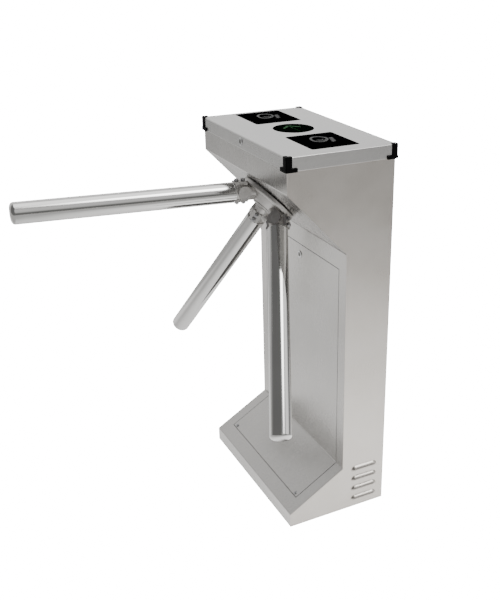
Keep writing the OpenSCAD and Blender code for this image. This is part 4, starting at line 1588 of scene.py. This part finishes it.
@dataclass(frozen=True)
class Studio:
    """The camera, the lights and the floor.

    Attributes:
        place: Where the camera stands.
        azimuth: Direction that it stands in, in degrees from the front.
        elevation: How far it looks down, in degrees.
        roll: Its roll, in degrees.
        lens: Focal length in millimetres.
        sensor: Sensor's width in millimetres.
        shift: Lens shift, as a share of the picture's longer side.
        floor_radius: Radius of the floor.
        white: Strength of the plain white that the camera sees.
        walls: Strength of the dim walls' light.
        glows: Patches of light on the walls.
        pools: Pools of painted light on the floor.
    """

    place: tuple[float, float, float] = (1.8839, -0.9612, 1.4494)
    azimuth: float = 61.172
    elevation: float = 23.63
    roll: float = 0.355
    lens: float = 52.128
    sensor: float = 36.0
    shift: float = -70 / 600
    floor_radius: float = 12.0
    white: float = 18.0
    walls: float = 0.18
    glows: tuple[Glow, ...] = (
        Glow(40, 58, 10, 6, 8.3),
        Glow(108, 76, 20, 12, 2.1),
        Glow(163, 21, 16, 10, 0.2),
        Glow(62, 26, 16, 12, 1.2),
        Glow(10, 36, 16, 12, 0.6),
        Glow(170, 10, 45, 25, 0.92),
    )
    pools: tuple[Pool, ...] = (
        Pool(0.0, 0.0, 0.2, 1.2, 0.95),
        Pool(1.0, 0.4, 0.3, 1.2, 1.0),
        Pool(-1.7, -0.9, 0.4, 1.5, 0.65),
        Pool(0.0, 0.0, 3.0, 9.0, 0.11),
    )

    def build(self) -> None:
        """Sets up the view and the light."""
        self.camera()
        self.floor()
        self.world()

    def camera(self) -> None:
        """Places the camera where the photograph was taken from."""
        a, e, r = (math.radians(v) for v in (self.azimuth, self.elevation, self.roll))
        back = Vector((math.sin(a) * math.cos(e), -math.cos(a) * math.cos(e), math.sin(e)))
        right = Vector((math.cos(a), math.sin(a), 0.0))
        up = back.cross(right)
        across = math.cos(r) * right + math.sin(r) * up
        upward = -math.sin(r) * right + math.cos(r) * up
        data = bpy.data.cameras.new("camera")
        data.sensor_width = self.sensor
        data.lens = self.lens
        data.shift_x = self.shift
        made = bpy.data.objects.new("camera", data)
        axes = Matrix((across, upward, back)).transposed().to_4x4()
        made.matrix_world = Matrix.Translation(self.place) @ axes
        bpy.context.scene.collection.objects.link(made)
        bpy.context.scene.camera = made

    def floor(self) -> None:
        """Lays a pale floor, with painted light that glows most near the cabinet."""
        bm = bmesh.new()
        bmesh.ops.create_circle(bm, cap_ends=True, segments=96, radius=self.floor_radius)
        # Matt coated paper: even and pale to the camera, with no reflection to be seen in it; to
        # other rays it glows with painted pools of light.
        paper = Paper(
            "matt_coated_paper", "#B4B4B3", "#B4B4B3", 0.75, pools=self.pools, white=self.white
        )
        made = new_piece("studio_floor", bm, paper)

    def world(self) -> None:
        """Lights the room: soft patches of light on dim walls, and plain white behind."""
        world = bpy.data.worlds.new("studio")
        world.use_nodes = True
        bpy.context.scene.world = world
        tree = world.node_tree
        tree.nodes.clear()
        way = add_node(tree, "ShaderNodeTexCoord").outputs["Generated"]
        total: bpy.types.NodeSocket | float = self.walls
        for glow in self.glows:
            patch = add_node(
                tree, "ShaderNodeVectorMath", {"operation": "DOT_PRODUCT"}, {0: way, 1: glow.way()}
            )
            outer = math.cos(math.radians(glow.radius + glow.blur))
            inner = math.cos(math.radians(glow.radius - glow.blur))
            value = patch.outputs["Value"]
            total = add_fade(tree, total, value, (outer, inner), (0.0, glow.strength))
        room, plain = [
            add_node(
                tree, "ShaderNodeBackground", inputs={"Color": linear(WHITE), "Strength": strength}
            ).outputs[0]
            for strength in (total, self.white)
        ]
        seen = add_node(tree, "ShaderNodeLightPath").outputs["Is Camera Ray"]
        both = add_node(tree, "ShaderNodeMixShader", inputs={0: seen, 1: room, 2: plain})
        add_node(tree, "ShaderNodeOutputWorld", inputs={"Surface": both.outputs[0]})


def main() -> None:
    """Dresses the frame."""
    logging.basicConfig(level=logging.INFO, format="%(message)s")
    frame = Frame.load()
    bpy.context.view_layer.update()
    for part in (
        Studio(),
        Cabinet(frame),
        Lid(frame),
        Hinge(frame),
        Tripod(frame),
        Mechanism(frame),
        Electrics(frame),
    ):
        part.build()
        log.info("%s is built", type(part).__name__)


if __name__ == "__main__":
    main()
